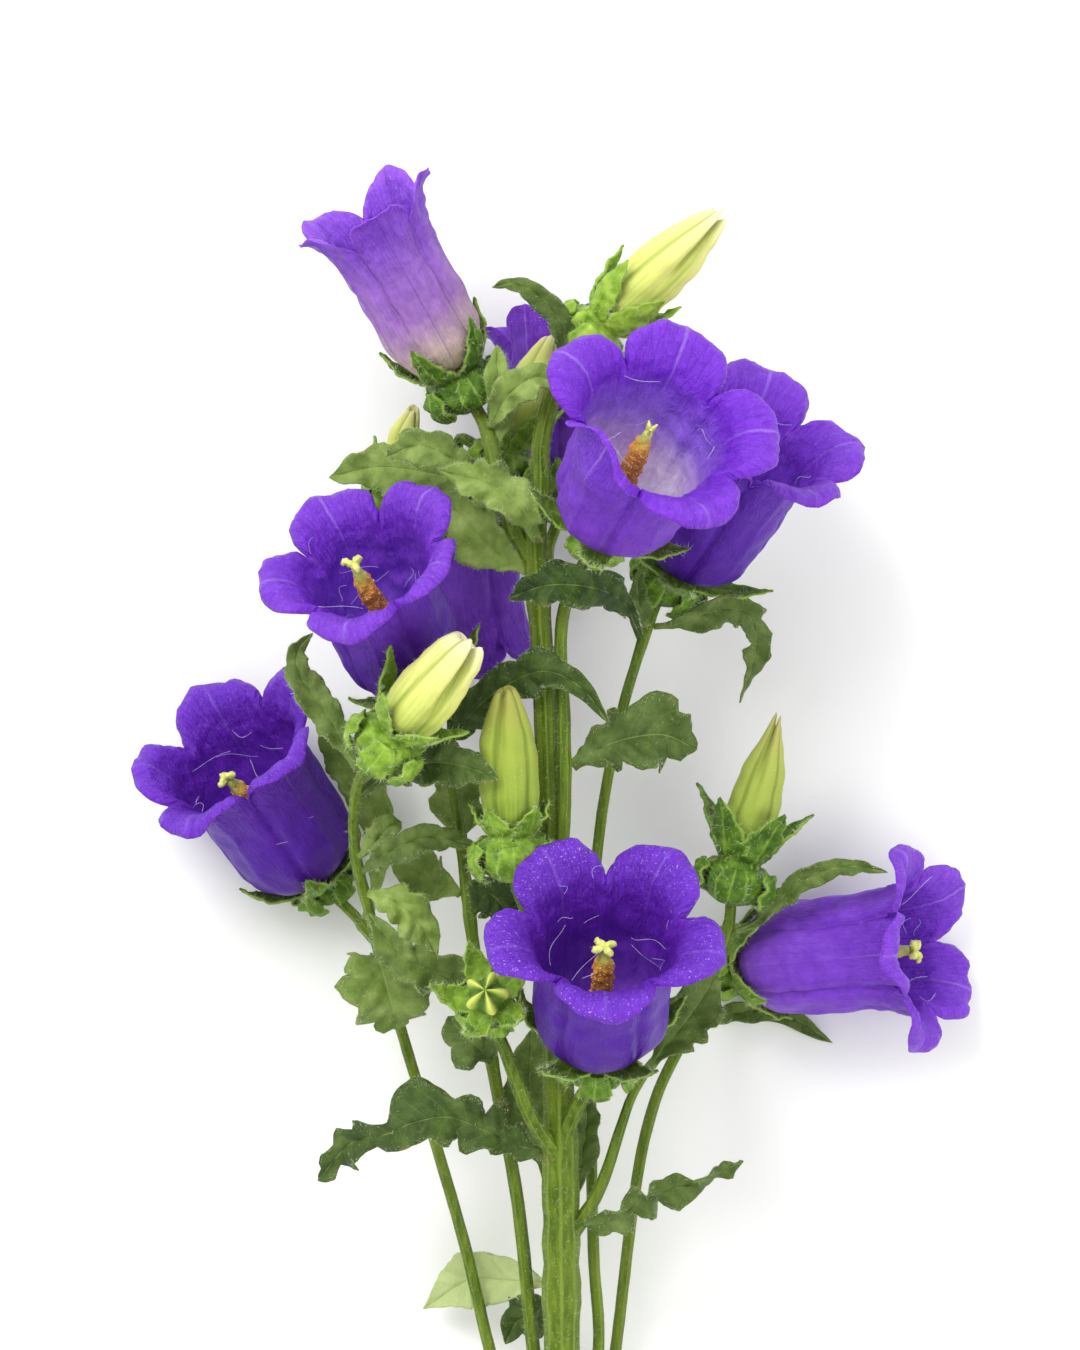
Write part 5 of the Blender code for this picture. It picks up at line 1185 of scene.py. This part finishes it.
# Each leaf runs from its stem through its points. half: half its width; widest: where along it;
# wave: how far its edge ripples; face: which way its upper side looks; neck and tail: how sharply it narrows;
# waist: where, over what length and how much it narrows on its way; cut: how deep its teeth are.
leaves = {
    "low_left": dict(through=[(-4, 39.6, 35), (-9, 41, 36.6), (-15, 43.6, 38), (-22, 46.4, 39),
                              (-29, 45.4, 39), (-35, 43, 38), (-42, 41, 34), (-48.6, 33.4, 28)], half=5.3,
                     widest=0.42, teeth=7, wave=1.5, tail=0.7, cut=2.1, waist=(0.64, 0.1, 0.45)),
    "low_right": dict(through=[(4.6, 25, 33), (10, 25.6, 36), (18, 30.4, 38), (28, 33.6, 38),
                               (36.8, 37.6, 36)], half=2.9, widest=0.3, teeth=8, wave=1.4, tail=0.5, cut=1.7,
                      face=((0, -0.55, 0.8), (0, -0.6, 0.8))),
    "bottom_left": dict(through=[(-1.6, 12.6, 25.6), (-5, 12.8, 19), (-10, 13, 14), (-18, 13, 9),
                                 (-27.6, 7, 5.8)], half=5.2, widest=0.66, teeth=4, wave=0.8, neck=1.6,
                        tail=1.25, cut=0.25),
    "bottom_dark": dict(through=[(-2, 9.6, 23), (-4.6, 6.8, 16), (-8.8, 4.4, 11.6), (-11, 0, 11.2)],
                        half=4.0, widest=0.6, teeth=4, wave=0.4, neck=1.2),
    "by_low_front": dict(through=[(18.2, 57, 36), (22, 61.6, 37), (27, 68, 36.5), (31.4, 75, 34)],
                         half=5.0, widest=0.62, teeth=5, wave=0.9, neck=1.7),
    "left_hanging": dict(through=[(-36.8, 79, 31), (-35.6, 75.6, 38), (-34, 70, 39.5), (-32.6, 64, 34)],
                         half=8.4, widest=0.5, teeth=5, wave=0.9, face=((0, 0.9, 0.5), (0.1, -0.5, 0.9))),
    "left_inner": dict(through=[(-16.4, 70.4, 38), (-23, 74.6, 45), (-32, 79, 49), (-38.4, 87.4, 47)],
                       half=3.9, widest=0.45, teeth=5, wave=1.0),
    "left_pale": dict(through=[(-37.2, 90.4, 36), (-33, 89.6, 38), (-28.2, 85.4, 38),
                               (-24.8, 78.4, 35.4)], half=3.7, widest=0.55, teeth=4, wave=0.7),
    "left_upper": dict(through=[(-41.6, 118, 50), (-46.6, 127, 49), (-52, 135, 46), (-52.6, 139.6, 45),
                                (-49.4, 143.4, 44)], half=3.3, widest=0.45, teeth=6, wave=1.0, neck=1.3),
    "left_behind": dict(through=[(-37.6, 86, 18), (-36.4, 97, 13), (-37.6, 108, 10.6), (-42.4, 117, 11.4),
                                 (-48.4, 123.6, 14)], half=4.6, widest=0.78, teeth=5, wave=0.7, neck=1.5),
    "mid_dark": dict(through=[(-38.6, 111.2, 47), (-33.6, 115.6, 51), (-27, 117.4, 55), (-20, 117, 60),
                              (-12.4, 114.4, 65)], half=4.6, widest=0.58, teeth=5, wave=0.7, neck=1.6),
    "mid_low": dict(through=[(-38.6, 95.6, 37.6), (-34.4, 99.6, 43.6), (-26, 102.6, 46),
                             (-16.6, 101, 45.4)], half=2.7, widest=0.55, teeth=5, wave=0.6),
    "mid_arch": dict(through=[(-21.4, 121.6, 38), (-16, 129, 45), (-10, 133.4, 49), (-3, 135.8, 54.4),
                              (4, 132.6, 58), (9.8, 125.4, 55)], half=4.2, widest=0.3, teeth=5, wave=0.9),
    "mid_right": dict(through=[(3, 116.6, 49.4), (7, 120, 50), (14, 122.4, 48), (21, 123, 45),
                               (27.4, 120, 42)], half=6.0, widest=0.66, teeth=5, wave=1.2),
    "right_arch": dict(through=[(19.8, 143.6, 31.6), (25.6, 145.8, 32), (32, 148, 31), (37.4, 147.4, 29),
                                (39.6, 141, 25), (36.2, 129.4, 21)], half=2.9, widest=0.5, teeth=6,
                       wave=0.7, face=((0, -0.4, 1), (0.75, 0.1, 0.6))),
    "centre_dark": dict(through=[(15.2, 143.6, 36), (14, 147.6, 42), (10.6, 151, 50), (4, 152.8, 57),
                                 (-3, 152.8, 58), (-10.4, 150.2, 54.6)], half=3.8, widest=0.68, teeth=5,
                        wave=0.8, neck=1.6),
    "upper_mid": dict(through=[(-3.4, 161, 52), (-6.6, 166.4, 57), (-13, 172.4, 58.5), (-24, 175.8, 56)],
                      half=3.9, widest=0.62, teeth=6, wave=1.0, neck=1.3),
    "upper_behind": dict(through=[(-7, 156, 47), (-13.4, 160, 45.6), (-19, 166, 44), (-24, 171.4, 42.4)],
                         half=4.8, widest=0.55, teeth=5, wave=0.8),
    "upper_left": dict(through=[(-13.4, 175, 51), (-21, 178, 53), (-28, 180.8, 51), (-34.8, 178.6, 46)],
                       half=3.2, widest=0.6, teeth=5, wave=0.7, neck=1.4),
    "upper_left_back": dict(through=[(-12.4, 171, 44), (-18, 173.4, 39.4), (-28, 175.8, 37),
                                     (-37, 176.6, 36), (-46.4, 174.6, 33)], half=5.0, widest=0.55,
                            teeth=5, wave=0.9),
    "top_arch": dict(through=[(-0.6, 196.4, 48), (0.6, 204, 54), (-3.6, 210.2, 56), (-9, 213, 55),
                              (-13.6, 212.4, 52)], half=2.3, widest=0.45, teeth=5, wave=0.5),
    "top_mid": dict(through=[(-14, 184.4, 47), (-10.4, 190.8, 52.5), (-5, 194.4, 54), (0.4, 193, 53)],
                    half=3.2, widest=0.6, teeth=4, wave=0.6),
    "top_bract": dict(through=[(-11, 180.6, 44.6), (-11.4, 188, 46.6), (-12.4, 195, 49.6),
                               (-12.6, 201, 48)], half=2.7, widest=0.6, teeth=3, wave=0.4),
    "right_sliver": dict(through=[(35.6, 83.4, 24), (39, 85, 25), (43.6, 89.4, 27), (50, 94.6, 30),
                                  (58, 96.6, 32), (65.8, 95.4, 31.4)], half=2.1, widest=0.5, teeth=6,
                         wave=0.5, neck=1.2),
    "right_under": dict(through=[(28.6, 67, 19), (33, 66.4, 8), (40, 67.2, 3), (47, 65.6, 2.2),
                                 (55.2, 60.6, 2.6)], half=2.0, widest=0.6, teeth=3, wave=0.2),
    "left_big_behind": dict(through=[(-21.4, 90.6, 36.4), (-25.6, 93.8, 32.6), (-30.4, 96.8, 31),
                                     (-34.8, 99, 30)], half=4.2, widest=0.5, teeth=4, wave=0.7),
    "left_mid": dict(through=[(-39.6, 98.2, 38.6), (-36.6, 102, 41.6), (-34, 104.8, 42),
                              (-31.8, 105.6, 40)], half=2.6, widest=0.6, teeth=4, wave=0.5, neck=1.4),
    "mid_behind": dict(through=[(-20.6, 101.6, 34.6), (-20.2, 105.6, 31), (-20.8, 111, 29.6),
                                (-22, 118, 30)], half=4.8, widest=0.55, teeth=4, wave=0.7),
    "inner_dark": dict(through=[(-17.2, 87.4, 38), (-14.6, 91.2, 42), (-12, 89.4, 43.4),
                                (-10.2, 84.4, 43)], half=3.8, widest=0.55, teeth=3, wave=0.5),
    "inner_low": dict(through=[(-14, 57.4, 35.4), (-16.2, 60.2, 39.8), (-19.4, 63, 40),
                               (-22.4, 66.6, 37.5)], half=4.4, widest=0.55, teeth=4, wave=0.8),
    "centre_low": dict(through=[(-3.8, 34, 30.4), (-5.2, 43, 28), (-6, 53, 28.6), (-5.6, 64, 30.6)],
                       half=5.2, widest=0.6, teeth=5, wave=0.6, neck=1.6),
    "right_low_back": dict(through=[(3.4, 29.4, 31), (4.2, 37, 29.8), (5.4, 46, 31), (5.2, 55, 32.2)],
                           half=2.5, widest=0.5, teeth=4, wave=0.3),
    "under_top_front": dict(through=[(17.4, 145, 35.4), (16, 149, 37.4), (15.6, 152.6, 38),
                                     (16.4, 156.4, 37)], half=1.7, widest=0.5, teeth=2, wave=0.3),
}


def leafRoot(leaf):
    start = Vector(leaf["through"][0])
    middle, radius, name, share = nearestStem(start)
    outward = (start - middle).normalized()
    return middle + outward * (radius + 0.1), name, share


swellings = {name: [] for name in stems}
for leaf in leaves.values():
    _, name, share = leafRoot(leaf)
    swellings[name].append(share)
for name, stem in stems.items():
    if name != "main":
        _, _, parent, share = nearestStem(Vector(stem["through"][0]), name)
        swellings[parent].append(share)
        swellings[name].append(0.0)


def stemCurve(name, chosen):
    data = bpy.data.curves.new(name, "CURVE")
    data.dimensions = "3D"
    for key in chosen:
        line, (first, last) = stemLines[key], stems[key]["radii"]
        count = max(12, round(line.knots[-1] / stemSizes["step"]))
        spline = data.splines.new("POLY")
        spline.points.add(count)
        for i, point in enumerate(spline.points):
            share = i / count
            radius = first + (last - first) * share
            gaps = [(share - mark) * line.knots[-1] for mark in swellings[key]]
            near = max([math.exp(-(gap / (0.7 * radius + 1)) ** 2) for gap in gaps] or [0])
            radius *= (1 + stemSizes["swell"] * near) * (1 if key == "main" else stemSizes["slim"])
            point.co = (*((line.at(share) + partShift) * mm), 1)
            point.radius = radius * mm
    return newObject(name, data)


ribbed, stemGreen = stemTree(), stemMaterial()
stemPieces = []
for name, (points, ribs) in stemSizes["profiles"].items():
    chosen = [key for key in stems if (key == "main") == (name == "mainStem")]
    stemPieces.append(grown(stemCurve(name, chosen), ribbed, {
        "Profile points": points, "Ribs": ribs, "Rib depth": stemSizes["ribDepth"],
        "Unevenness": stemSizes["unevenness"] * mm, "Floor": floorHeight, "Cut end": cadBox[0][1],
        "Material": stemGreen}))
for piece in stemPieces:
    settle(piece, "stem_green", "branched_stem")
print("stems done:", [len(piece.data.polygons) for piece in stemPieces], "faces")


leafSizes = dict(
    columns=21,
    rowsPerMm=1.4,
    blade=0.34,  # thickness
    midrib=0.75,  # how much thicker the blade is along its midrib, at its root
    tooth=0.17,  # depth of a tooth, as a share of the half width
    smallTooth=0.09,
    veinGap=4.2,  # from side vein to side vein
    quilt=0.36,  # how far the blade puffs up between its veins
    ripple=2.0,  # how strongly every leaf's own wave is taken
    fold=0.26,  # how far its halves rise from the midrib
)
leafPale = {  # 0 is the darkest green, 1 the palest, more is the bare pale underside
    "bottom_left": 1.7, "left_pale": 0.95, "left_behind": 0.75, "left_big_behind": 0.8, "left_hanging": 0.6,
    "left_inner": 0.45, "left_upper": 0.45, "mid_behind": 0.7, "centre_low": 0.4, "right_low_back": 0.3,
    "upper_left_back": 0.75, "upper_behind": 0.86, "top_mid": 0.85, "top_bract": 0.85, "centre_dark": 0.0,
    "mid_right": 0.2, "mid_arch": 0.1, "bottom_dark": 0.1, "low_left": 0.1, "low_right": 0.25,
    "mid_dark": 0.15, "inner_dark": 0.05, "inner_low": 0.2, "upper_mid": 0.78, "upper_left": 0.58,
    "left_mid": 0.55,
}


def leafMaterial():
    # Leaf of a biennial herb: dull grey green above, paler under, with pale sunken veins and a bristly skin.
    made, tree, shader = newMaterial("leaf hairy", {
        "Roughness": 0.55, "IOR": 1.4, "Sheen Weight": 0.05, "Sheen Tint": "#E4EEDC",
        "Specular IOR Level": 0.35})
    # place holds millimetres across, millimetres along, and the side from -1 to 1
    place = addNode(tree, "ShaderNodeAttribute", out="Vector", attribute_name="place")
    split = addNode(tree, "ShaderNodeSeparateXYZ", [place]).node.outputs
    pale = addNode(tree, "ShaderNodeAttribute", out="Fac", attribute_name="pale")
    skin = addNode(tree, "ShaderNodeAttribute", out="Fac", attribute_name="skin")
    across = addNode(tree, "ShaderNodeMath", [split["X"]], operation="ABSOLUTE")
    spot = addNode(tree, "ShaderNodeTexCoord", out="Object")
    cloud = addNode(tree, "ShaderNodeTexNoise", {"Vector": spot, "Scale": 260.0, "Detail": 5.0}, out="Fac")
    dark = addNode(tree, "ShaderNodeValToRGB", [cloud], stops=[
        (0.3, "#1A2E08"), (0.5, "#2A4210"), (0.72, "#42591E")])
    light = addNode(tree, "ShaderNodeValToRGB", [cloud], stops=[
        (0.3, "#6C8636"), (0.5, "#869E4A"), (0.72, "#A4B866")])
    colour = addNode(tree, "ShaderNodeMix", {0: pale, 6: dark, 7: light}, **inColour)
    bare = addNode(tree, "ShaderNodeMapRange", [pale, 1.0, 2.0, 0.0, 1.0])
    colour = addNode(tree, "ShaderNodeMix", {0: bare, 6: colour, 7: "#BECB90"}, **inColour)
    under = addNode(tree, "ShaderNodeMapRange", [skin, 0.0, 1.0, 0.4, 0.0])
    colour = addNode(tree, "ShaderNodeMix", {0: under, 6: colour, 7: "#8CA250"}, **inColour)
    # side veins leave the midrib at about 50 degrees and run to the teeth
    lean = addNode(tree, "ShaderNodeMath", [across, -0.75, split["Y"]], operation="MULTIPLY_ADD")
    saw = addNode(tree, "ShaderNodeMath", [lean, 2 * math.pi / leafSizes["veinGap"]], operation="MULTIPLY")
    ring = addNode(tree, "ShaderNodeMath", [saw], operation="COSINE")
    sideVein = addNode(tree, "ShaderNodeMapRange", [ring, 0.95, 1.0, 0.0, 0.1], **eased)
    net = addNode(tree, "ShaderNodeTexVoronoi", {"Vector": place, "Scale": 1.1}, out="Distance",
                  feature="DISTANCE_TO_EDGE")
    fineVein = addNode(tree, "ShaderNodeMapRange", [net, 0.0, 0.06, 0.1, 0.0], **eased)
    midVein = addNode(tree, "ShaderNodeMapRange", [across, 0.06, 0.32, 0.38, 0.0], **eased)
    veins = addNode(tree, "ShaderNodeMath", [sideVein, fineVein], operation="MAXIMUM")
    vein = addNode(tree, "ShaderNodeMath", [midVein, veins], operation="MAXIMUM")
    colour = addNode(tree, "ShaderNodeMix", {0: vein, 6: colour, 7: "#92A85C"}, **inColour)
    edge = addNode(tree, "ShaderNodeMath", [split["Z"]], operation="ABSOLUTE")
    brim = addNode(tree, "ShaderNodeMapRange", [edge, 0.9, 1.0, 0.0, 1.0], **eased)
    dry = addNode(tree, "ShaderNodeMapRange", [cloud, 0.56, 0.66, 0.0, 0.5], **eased)
    burnt = addNode(tree, "ShaderNodeMath", [brim, dry], operation="MULTIPLY")
    colour = addNode(tree, "ShaderNodeMix", {0: burnt, 6: colour, 7: "#7A6A3C"}, **inColour)
    tree.links.new(colour, shader.inputs["Base Color"])
    grain = addNode(tree, "ShaderNodeTexNoise", {"Vector": spot, "Scale": 1300.0, "Detail": 4.0}, out="Fac")
    sunk = addNode(tree, "ShaderNodeMath", [vein, -1.2, grain], operation="MULTIPLY_ADD")
    bump = addNode(tree, "ShaderNodeBump", {"Height": sunk, "Strength": 0.6, "Distance": 0.0004})
    tree.links.new(bump, shader.inputs["Normal"])
    return made


def leafHalfWidth(leaf, share):
    widest = leaf["widest"]
    rising = np.sin(math.pi / 2 * np.minimum(share / widest, 1)) ** leaf.get("neck", 0.9)
    falling = np.cos(math.pi / 2 * np.clip((share - widest) / (1 - widest), 0, 1)) ** leaf.get("tail", 0.85)
    width = np.maximum(np.where(share < widest, rising, falling), 0.2 * (1 - share) ** 0.5)
    where, span, depth = leaf.get("waist", (0.5, 0.1, 0))
    return leaf["half"] * width * (1 - depth * np.exp(-((share - where) / span) ** 2))


def bladeGrid(name, leaf):
    sizes = leafSizes
    rng = random.Random("ripple of " + name)
    phase = rng.random()
    root, _, _ = leafRoot(leaf)
    line = StemLine([root] + list(leaf["through"][1:]))
    length = line.knots[-1]
    rows = max(24, round(length * sizes["rowsPerMm"]))
    start, end = (Vector(f) for f in leaf.get("face", ((0, 0, 1), (0, 0, 1))))
    middle, right, up = [], [], []
    for s in np.linspace(0, 1, rows):
        ahead = line.direction(s)
        above = start.lerp(end, s)
        above = (above - ahead * above.dot(ahead)).normalized()
        middle.append(line.at(s))
        right.append(ahead.cross(above))
        up.append(above)
    middle, right, up = np.array(middle), np.array(right), np.array(up)
    along = np.linspace(0, 1, rows)[:, None]
    side = np.linspace(-1, 1, sizes["columns"])[None, :]
    margin = np.abs(side)
    teeth = leaf["teeth"]
    cut = sizes["tooth"] * leaf.get("cut", 1)
    depth = np.array([cut * rng.uniform(0.4, 1.7) for _ in range(2 * teeth + 2)])
    drawn = along + 0.05 * np.sin(2 * math.pi * (1.7 * along + phase))  # teeth stand at uneven distances
    count = np.clip(teeth * drawn + np.where(side > 0, 0.0, 0.5), 0, None)  # the two edges' teeth alternate
    own = depth[(count.astype(int) % teeth) + np.where(side > 0, 0, teeth)]
    bite = np.sin(math.pi * (count % 1) ** 1.35)
    small = np.abs(np.sin(math.pi * 3 * count + phase * 6))
    tooth = 1 - cut + (2 * own * bite + sizes["smallTooth"] * small) * margin ** 3
    width = leafHalfWidth(leaf, along) * tooth
    width[-1] = 0
    ripple = np.sin(2 * math.pi * (teeth / 2 * drawn + phase + np.where(side > 0, 0.37, 0)))
    ruffle = np.sin(2 * math.pi * (teeth * 1.1 * drawn + phase * 3 + np.where(side > 0, 0.6, 0)))
    wave = leaf["wave"] * sizes["ripple"] * np.sin(math.pi * along) ** 0.7
    lift = margin * width * sizes["fold"] + wave * (ripple * side ** 2 + 0.35 * ruffle * side ** 4)
    across = side * width
    veins = np.cos(2 * math.pi * (along * length - 0.75 * np.abs(across)) / sizes["veinGap"])
    lift = lift - sizes["quilt"] * veins * np.minimum(1, margin * 3) * np.minimum(1, width / 3)
    lift = lift - 0.35 * np.exp(-(across / 0.5) ** 2) * np.minimum(1, width / 2)
    grid = middle[:, None] + right[:, None] * across[..., None] + up[:, None] * lift[..., None]
    thick = sizes["blade"] + sizes["midrib"] * np.exp(-(across / 0.5) ** 2) * (1 - along)
    return grid, thick, stacked(across, along * length, side)


leafSkin = leafMaterial()
blades = []
for name, leaf in leaves.items():
    shape = solidSheet(*bladeGrid(name, leaf))
    piece = meshPiece("blade_" + name, shape, leafSkin, {
        "pale": np.full(len(shape[0]), leafPale.get(name, 0.3)),
        "fringe": 0.06 + 3.0 * softStep(0.93, 1.0, np.abs(shape[2][:, 2]))}, seat=True)
    blades.append(settle(piece, "leaf_green", "leaf_" + name))
print("leaves done:", len(blades))


hairSizes = {
    "stemHairs": dict(length=1.3, thick=0.022, perMm=1.0, seed=3),
    "cupHairs": dict(length=1.5, thick=0.034, perMm=1.56, seed=5),
    "leafHairs": dict(length=1.0, thick=0.032, perMm=1.9, seed=7),
    "budHairs": dict(length=0.8, thick=0.024, perMm=0.5, seed=9),
}


def hairMaterial(name, dull, pale):  # plant hair: clear cells that look white against the light
    made, tree, shader = newMaterial(name, {"Roughness": 0.4, "IOR": 1.4})
    spot = addNode(tree, "ShaderNodeTexCoord", out="Object")
    cloud = addNode(tree, "ShaderNodeTexNoise", {"Vector": spot, "Scale": 500.0}, out="Fac")
    colour = addNode(tree, "ShaderNodeValToRGB", [cloud], stops=[(0.35, dull), (0.65, pale)])
    tree.links.new(colour, shader.inputs["Base Color"])
    return made


def hairTree():  # thin closed cones scattered over what they grow on, leaning and of different lengths
    tree, given = treeInputs("short hairs", [
        ("Length", "NodeSocketFloat"), ("Thickness", "NodeSocketFloat"), ("Density", "NodeSocketFloat"),
        ("Seed", "NodeSocketInt"), ("Floor", "NodeSocketFloat"), ("Cut end", "NodeSocketFloat"),
        ("Material", "NodeSocketMaterial")])
    fringe = addNode(tree, "GeometryNodeInputNamedAttribute", {"Name": "fringe"}, data_type="FLOAT")
    density = addNode(tree, "ShaderNodeMath", [given["Density"], fringe], operation="MULTIPLY")
    spread = addNode(tree, "GeometryNodeDistributePointsOnFaces", {
        "Mesh": given["Geometry"], "Density": density, "Seed": given["Seed"]})
    hair = addNode(tree, "GeometryNodeMeshCone", {
        "Vertices": 3, "Radius Top": 0.0, "Depth": given["Length"], "Radius Bottom": given["Thickness"]},
        fill_type="TRIANGLE_FAN")
    lean = addNode(tree, "FunctionNodeRandomValue", {
        0: (-0.9, -0.9, 0.0), 1: (0.9, 0.9, 6.28), "Seed": given["Seed"]}, data_type="FLOAT_VECTOR")
    bent = addNode(tree, "FunctionNodeEulerToRotation", [lean])
    turned = addNode(tree, "FunctionNodeRotateRotation", [spread.node.outputs["Rotation"], bent],
                     rotation_space="LOCAL")
    size = addNode(tree, "FunctionNodeRandomValue", {2: 0.45, 3: 1.0, "Seed": given["Seed"]}, out=1,
                   data_type="FLOAT")
    put = addNode(tree, "GeometryNodeInstanceOnPoints", {
        "Points": spread, "Instance": hair, "Rotation": turned, "Scale": size})
    real = addNode(tree, "GeometryNodeRealizeInstances", [put])
    here = addNode(tree, "GeometryNodeInputPosition")
    least = addNode(tree, "ShaderNodeCombineXYZ", [-9.0, given["Cut end"], given["Floor"]])
    kept = addNode(tree, "ShaderNodeVectorMath", [here, least], operation="MAXIMUM")
    seated = addNode(tree, "GeometryNodeSetPosition", {"Geometry": real, "Position": kept})
    again = addNode(tree, "GeometryNodeRealizeInstances", [seated])
    dressed = addNode(tree, "GeometryNodeSetMaterial", {"Geometry": again, "Material": given["Material"]})
    addNode(tree, "NodeGroupOutput", [dressed])
    return tree


def hairPiece(name, bearers, tree, material):
    sizes = hairSizes[name]
    points, faces, fringe, start = [], [], [], 0
    for bearer in bearers:
        mesh = bearer.data
        count = len(mesh.vertices)
        spots, thickness = np.zeros(count * 3), np.full(count, 1.0)
        mesh.vertices.foreach_get("co", spots)
        if "fringe" in mesh.attributes:
            mesh.attributes["fringe"].data.foreach_get("value", thickness)
        points += spots.reshape(-1, 3).tolist()
        faces += [[start + v for v in face.vertices] for face in mesh.polygons]
        fringe.append(thickness)
        start += count
    base = bpy.data.meshes.new(name)
    base.from_pydata(points, [], faces)
    base.attributes.new("fringe", "FLOAT", "POINT").data.foreach_set("value", np.concatenate(fringe))
    return grown(newObject(name, base), tree, {
        "Length": sizes["length"] * mm, "Thickness": sizes["thick"] * mm, "Floor": floorHeight,
        "Cut end": cadBox[0][1], "Density": sizes["perMm"] * 1e6, "Seed": sizes["seed"],
        "Material": material})


hair, hairs = hairMaterial("hair clear", "#BCCC90", "#EAF0D6"), hairTree()
hairBearers = {
    "stemHairs": (stemPieces, "stem_green"), "cupHairs": (cups, "stem_green"),
    "leafHairs": (blades, "leaf_green"), "budHairs": (closedBuds, "bud_yellow"),
}
for name, (bearers, slotName) in hairBearers.items():
    piece = settle(hairPiece(name, bearers, hairs, hair), slotName)
    print(name, len(piece.data.polygons), "faces")


# Long loose hairs lie in the open bells, across the inside of the wall and over the throat.
fibreSizes = dict(
    each=13,  # in each bell
    without=("top_back", "mid_back", "top_left"),  # bells that show no throat
    shortest=3.0,
    longest=10.0,
    thick=0.028,
    bow=1.8,
    curl=1.0,
    points=12,
    sides=4,
)


def fibreTree():  # a thin thread along every line
    tree, given = treeInputs("loose hairs", [
        ("Thickness", "NodeSocketFloat"), ("Sides", "NodeSocketInt"), ("Material", "NodeSocketMaterial")])
    ring = addNode(tree, "GeometryNodeCurvePrimitiveCircle", {
        "Resolution": given["Sides"], "Radius": given["Thickness"]})
    swept = addNode(tree, "GeometryNodeCurveToMesh", {"Curve": given["Geometry"], "Profile Curve": ring,
                                                      "Fill Caps": True})
    real = addNode(tree, "GeometryNodeRealizeInstances", [swept])
    dressed = addNode(tree, "GeometryNodeSetMaterial", {"Geometry": real, "Material": given["Material"]})
    addNode(tree, "NodeGroupOutput", [dressed])
    return tree


def fibreLines():
    data = bpy.data.curves.new("looseHairs", "CURVE")
    data.dimensions = "3D"
    rng = random.Random("loose hairs in the throat")
    for name, bell in bells.items():
        if name in fibreSizes["without"]:
            continue
        matrix = flowerFrame(bell)
        for _ in range(fibreSizes["each"]):
            share, turn = rng.uniform(0.5, 0.84), rng.uniform(0, 2 * math.pi)
            height, radius = wallLine(bell, 0.5, 1, np.array([share]))
            away = radius[0] - rng.uniform(1.6, 3.2)
            start = Vector((away * math.cos(turn), away * math.sin(turn), height[0] + petalSizes["lift"]))
            way = Vector((rng.uniform(-1, 1), rng.uniform(-1, 1), rng.uniform(-0.6, 0.8)))
            outward = max(0, way.x * math.cos(turn) + way.y * math.sin(turn))
            way -= Vector((math.cos(turn), math.sin(turn), 0)) * outward  # it doesn't run into the wall
            way.normalize()
            long = rng.uniform(fibreSizes["shortest"], fibreSizes["longest"])
            aside = way.orthogonal().normalized()
            bow = aside * rng.uniform(-1, 1) * fibreSizes["bow"]
            curl = aside.cross(way) * rng.uniform(-1, 1) * fibreSizes["curl"]
            spline = data.splines.new("POLY")
            spline.points.add(fibreSizes["points"])
            for i, point in enumerate(spline.points):
                t = i / fibreSizes["points"]
                spot = start + way * long * t + bow * math.sin(math.pi * t) + curl * math.sin(5 * t)
                point.co = (*((matrix @ spot + partShift) * mm), 1)
    return newObject("looseHairs", data)


piece = grown(fibreLines(), fibreTree(), {
    "Thickness": fibreSizes["thick"] * mm, "Sides": fibreSizes["sides"],
    "Material": hairMaterial("hair loose", "#CFC8E4", "#F4F0FA")})
settle(piece, "petal_violet")
print("loose hairs", len(piece.data.polygons), "faces")


stageLook = dict(
    floor="#F6F6F4",
    key=dict(at=(-0.7, 1.1, 1.5), power=26.0, size=1.0),
    fill=dict(at=(1.0, -0.5, 1.3), power=8.0, size=1.2),
    sky=1.0,
    seen=(-4, 135, 45),  # what the photograph's middle looks at, in the lying stem's millimetres
    far=4000,  # millimetres from there to the camera
    height=270,  # millimetres of the plant that fill the picture's height
    sensor=36,
)


def paleFloor():
    mesh = bpy.data.meshes.new("paleTable")
    mesh.from_pydata([(-6, -6, 0), (6, -6, 0), (6, 6, 0), (-6, 6, 0)], [], [(0, 1, 2, 3)])
    made, tree, shader = newMaterial("table matt", {"Roughness": 0.8})
    spot = addNode(tree, "ShaderNodeTexCoord", out="Object")
    cloud = addNode(tree, "ShaderNodeTexNoise", {"Vector": spot, "Scale": 6.0}, out="Fac")
    colour = addNode(tree, "ShaderNodeValToRGB", [cloud], stops=[(0.3, "#F2F2F0"), (0.7, stageLook["floor"])])
    tree.links.new(colour, shader.inputs["Base Color"])
    mesh.materials.append(made)
    floor = newObject("paleTable", mesh)


def softLamp(name, at, power, size):  # a square soft box that looks at the plant
    lamp = bpy.data.lights.new(name, "AREA")
    lamp.energy = power
    lamp.size = size
    made = newObject(name, lamp)
    made.location = at
    made.rotation_euler = (-Vector(at) + Vector((0, 0.03, 0.05))).to_track_quat("-Z", "Y").to_euler()


paleFloor()
softLamp("keySoftBox", **stageLook["key"])
softLamp("fillSoftBox", **stageLook["fill"])
world = bpy.data.worlds.new("studio")
world.use_nodes = True
world.node_tree.nodes["Background"].inputs["Color"].default_value = (1, 1, 1, 1)
world.node_tree.nodes["Background"].inputs["Strength"].default_value = stageLook["sky"]
bpy.context.scene.world = world
bpy.context.scene.view_settings.view_transform = "Standard"

lens = bpy.data.cameras.new("photoCamera")
lens.lens = stageLook["sensor"] * stageLook["far"] / stageLook["height"]
lens.clip_end = 20
camera = newObject("photoCamera", lens)
camera.location = (Vector(stageLook["seen"]) + partShift + Vector((0, 0, stageLook["far"]))) * mm
bpy.context.scene.camera = camera
print("stage done")
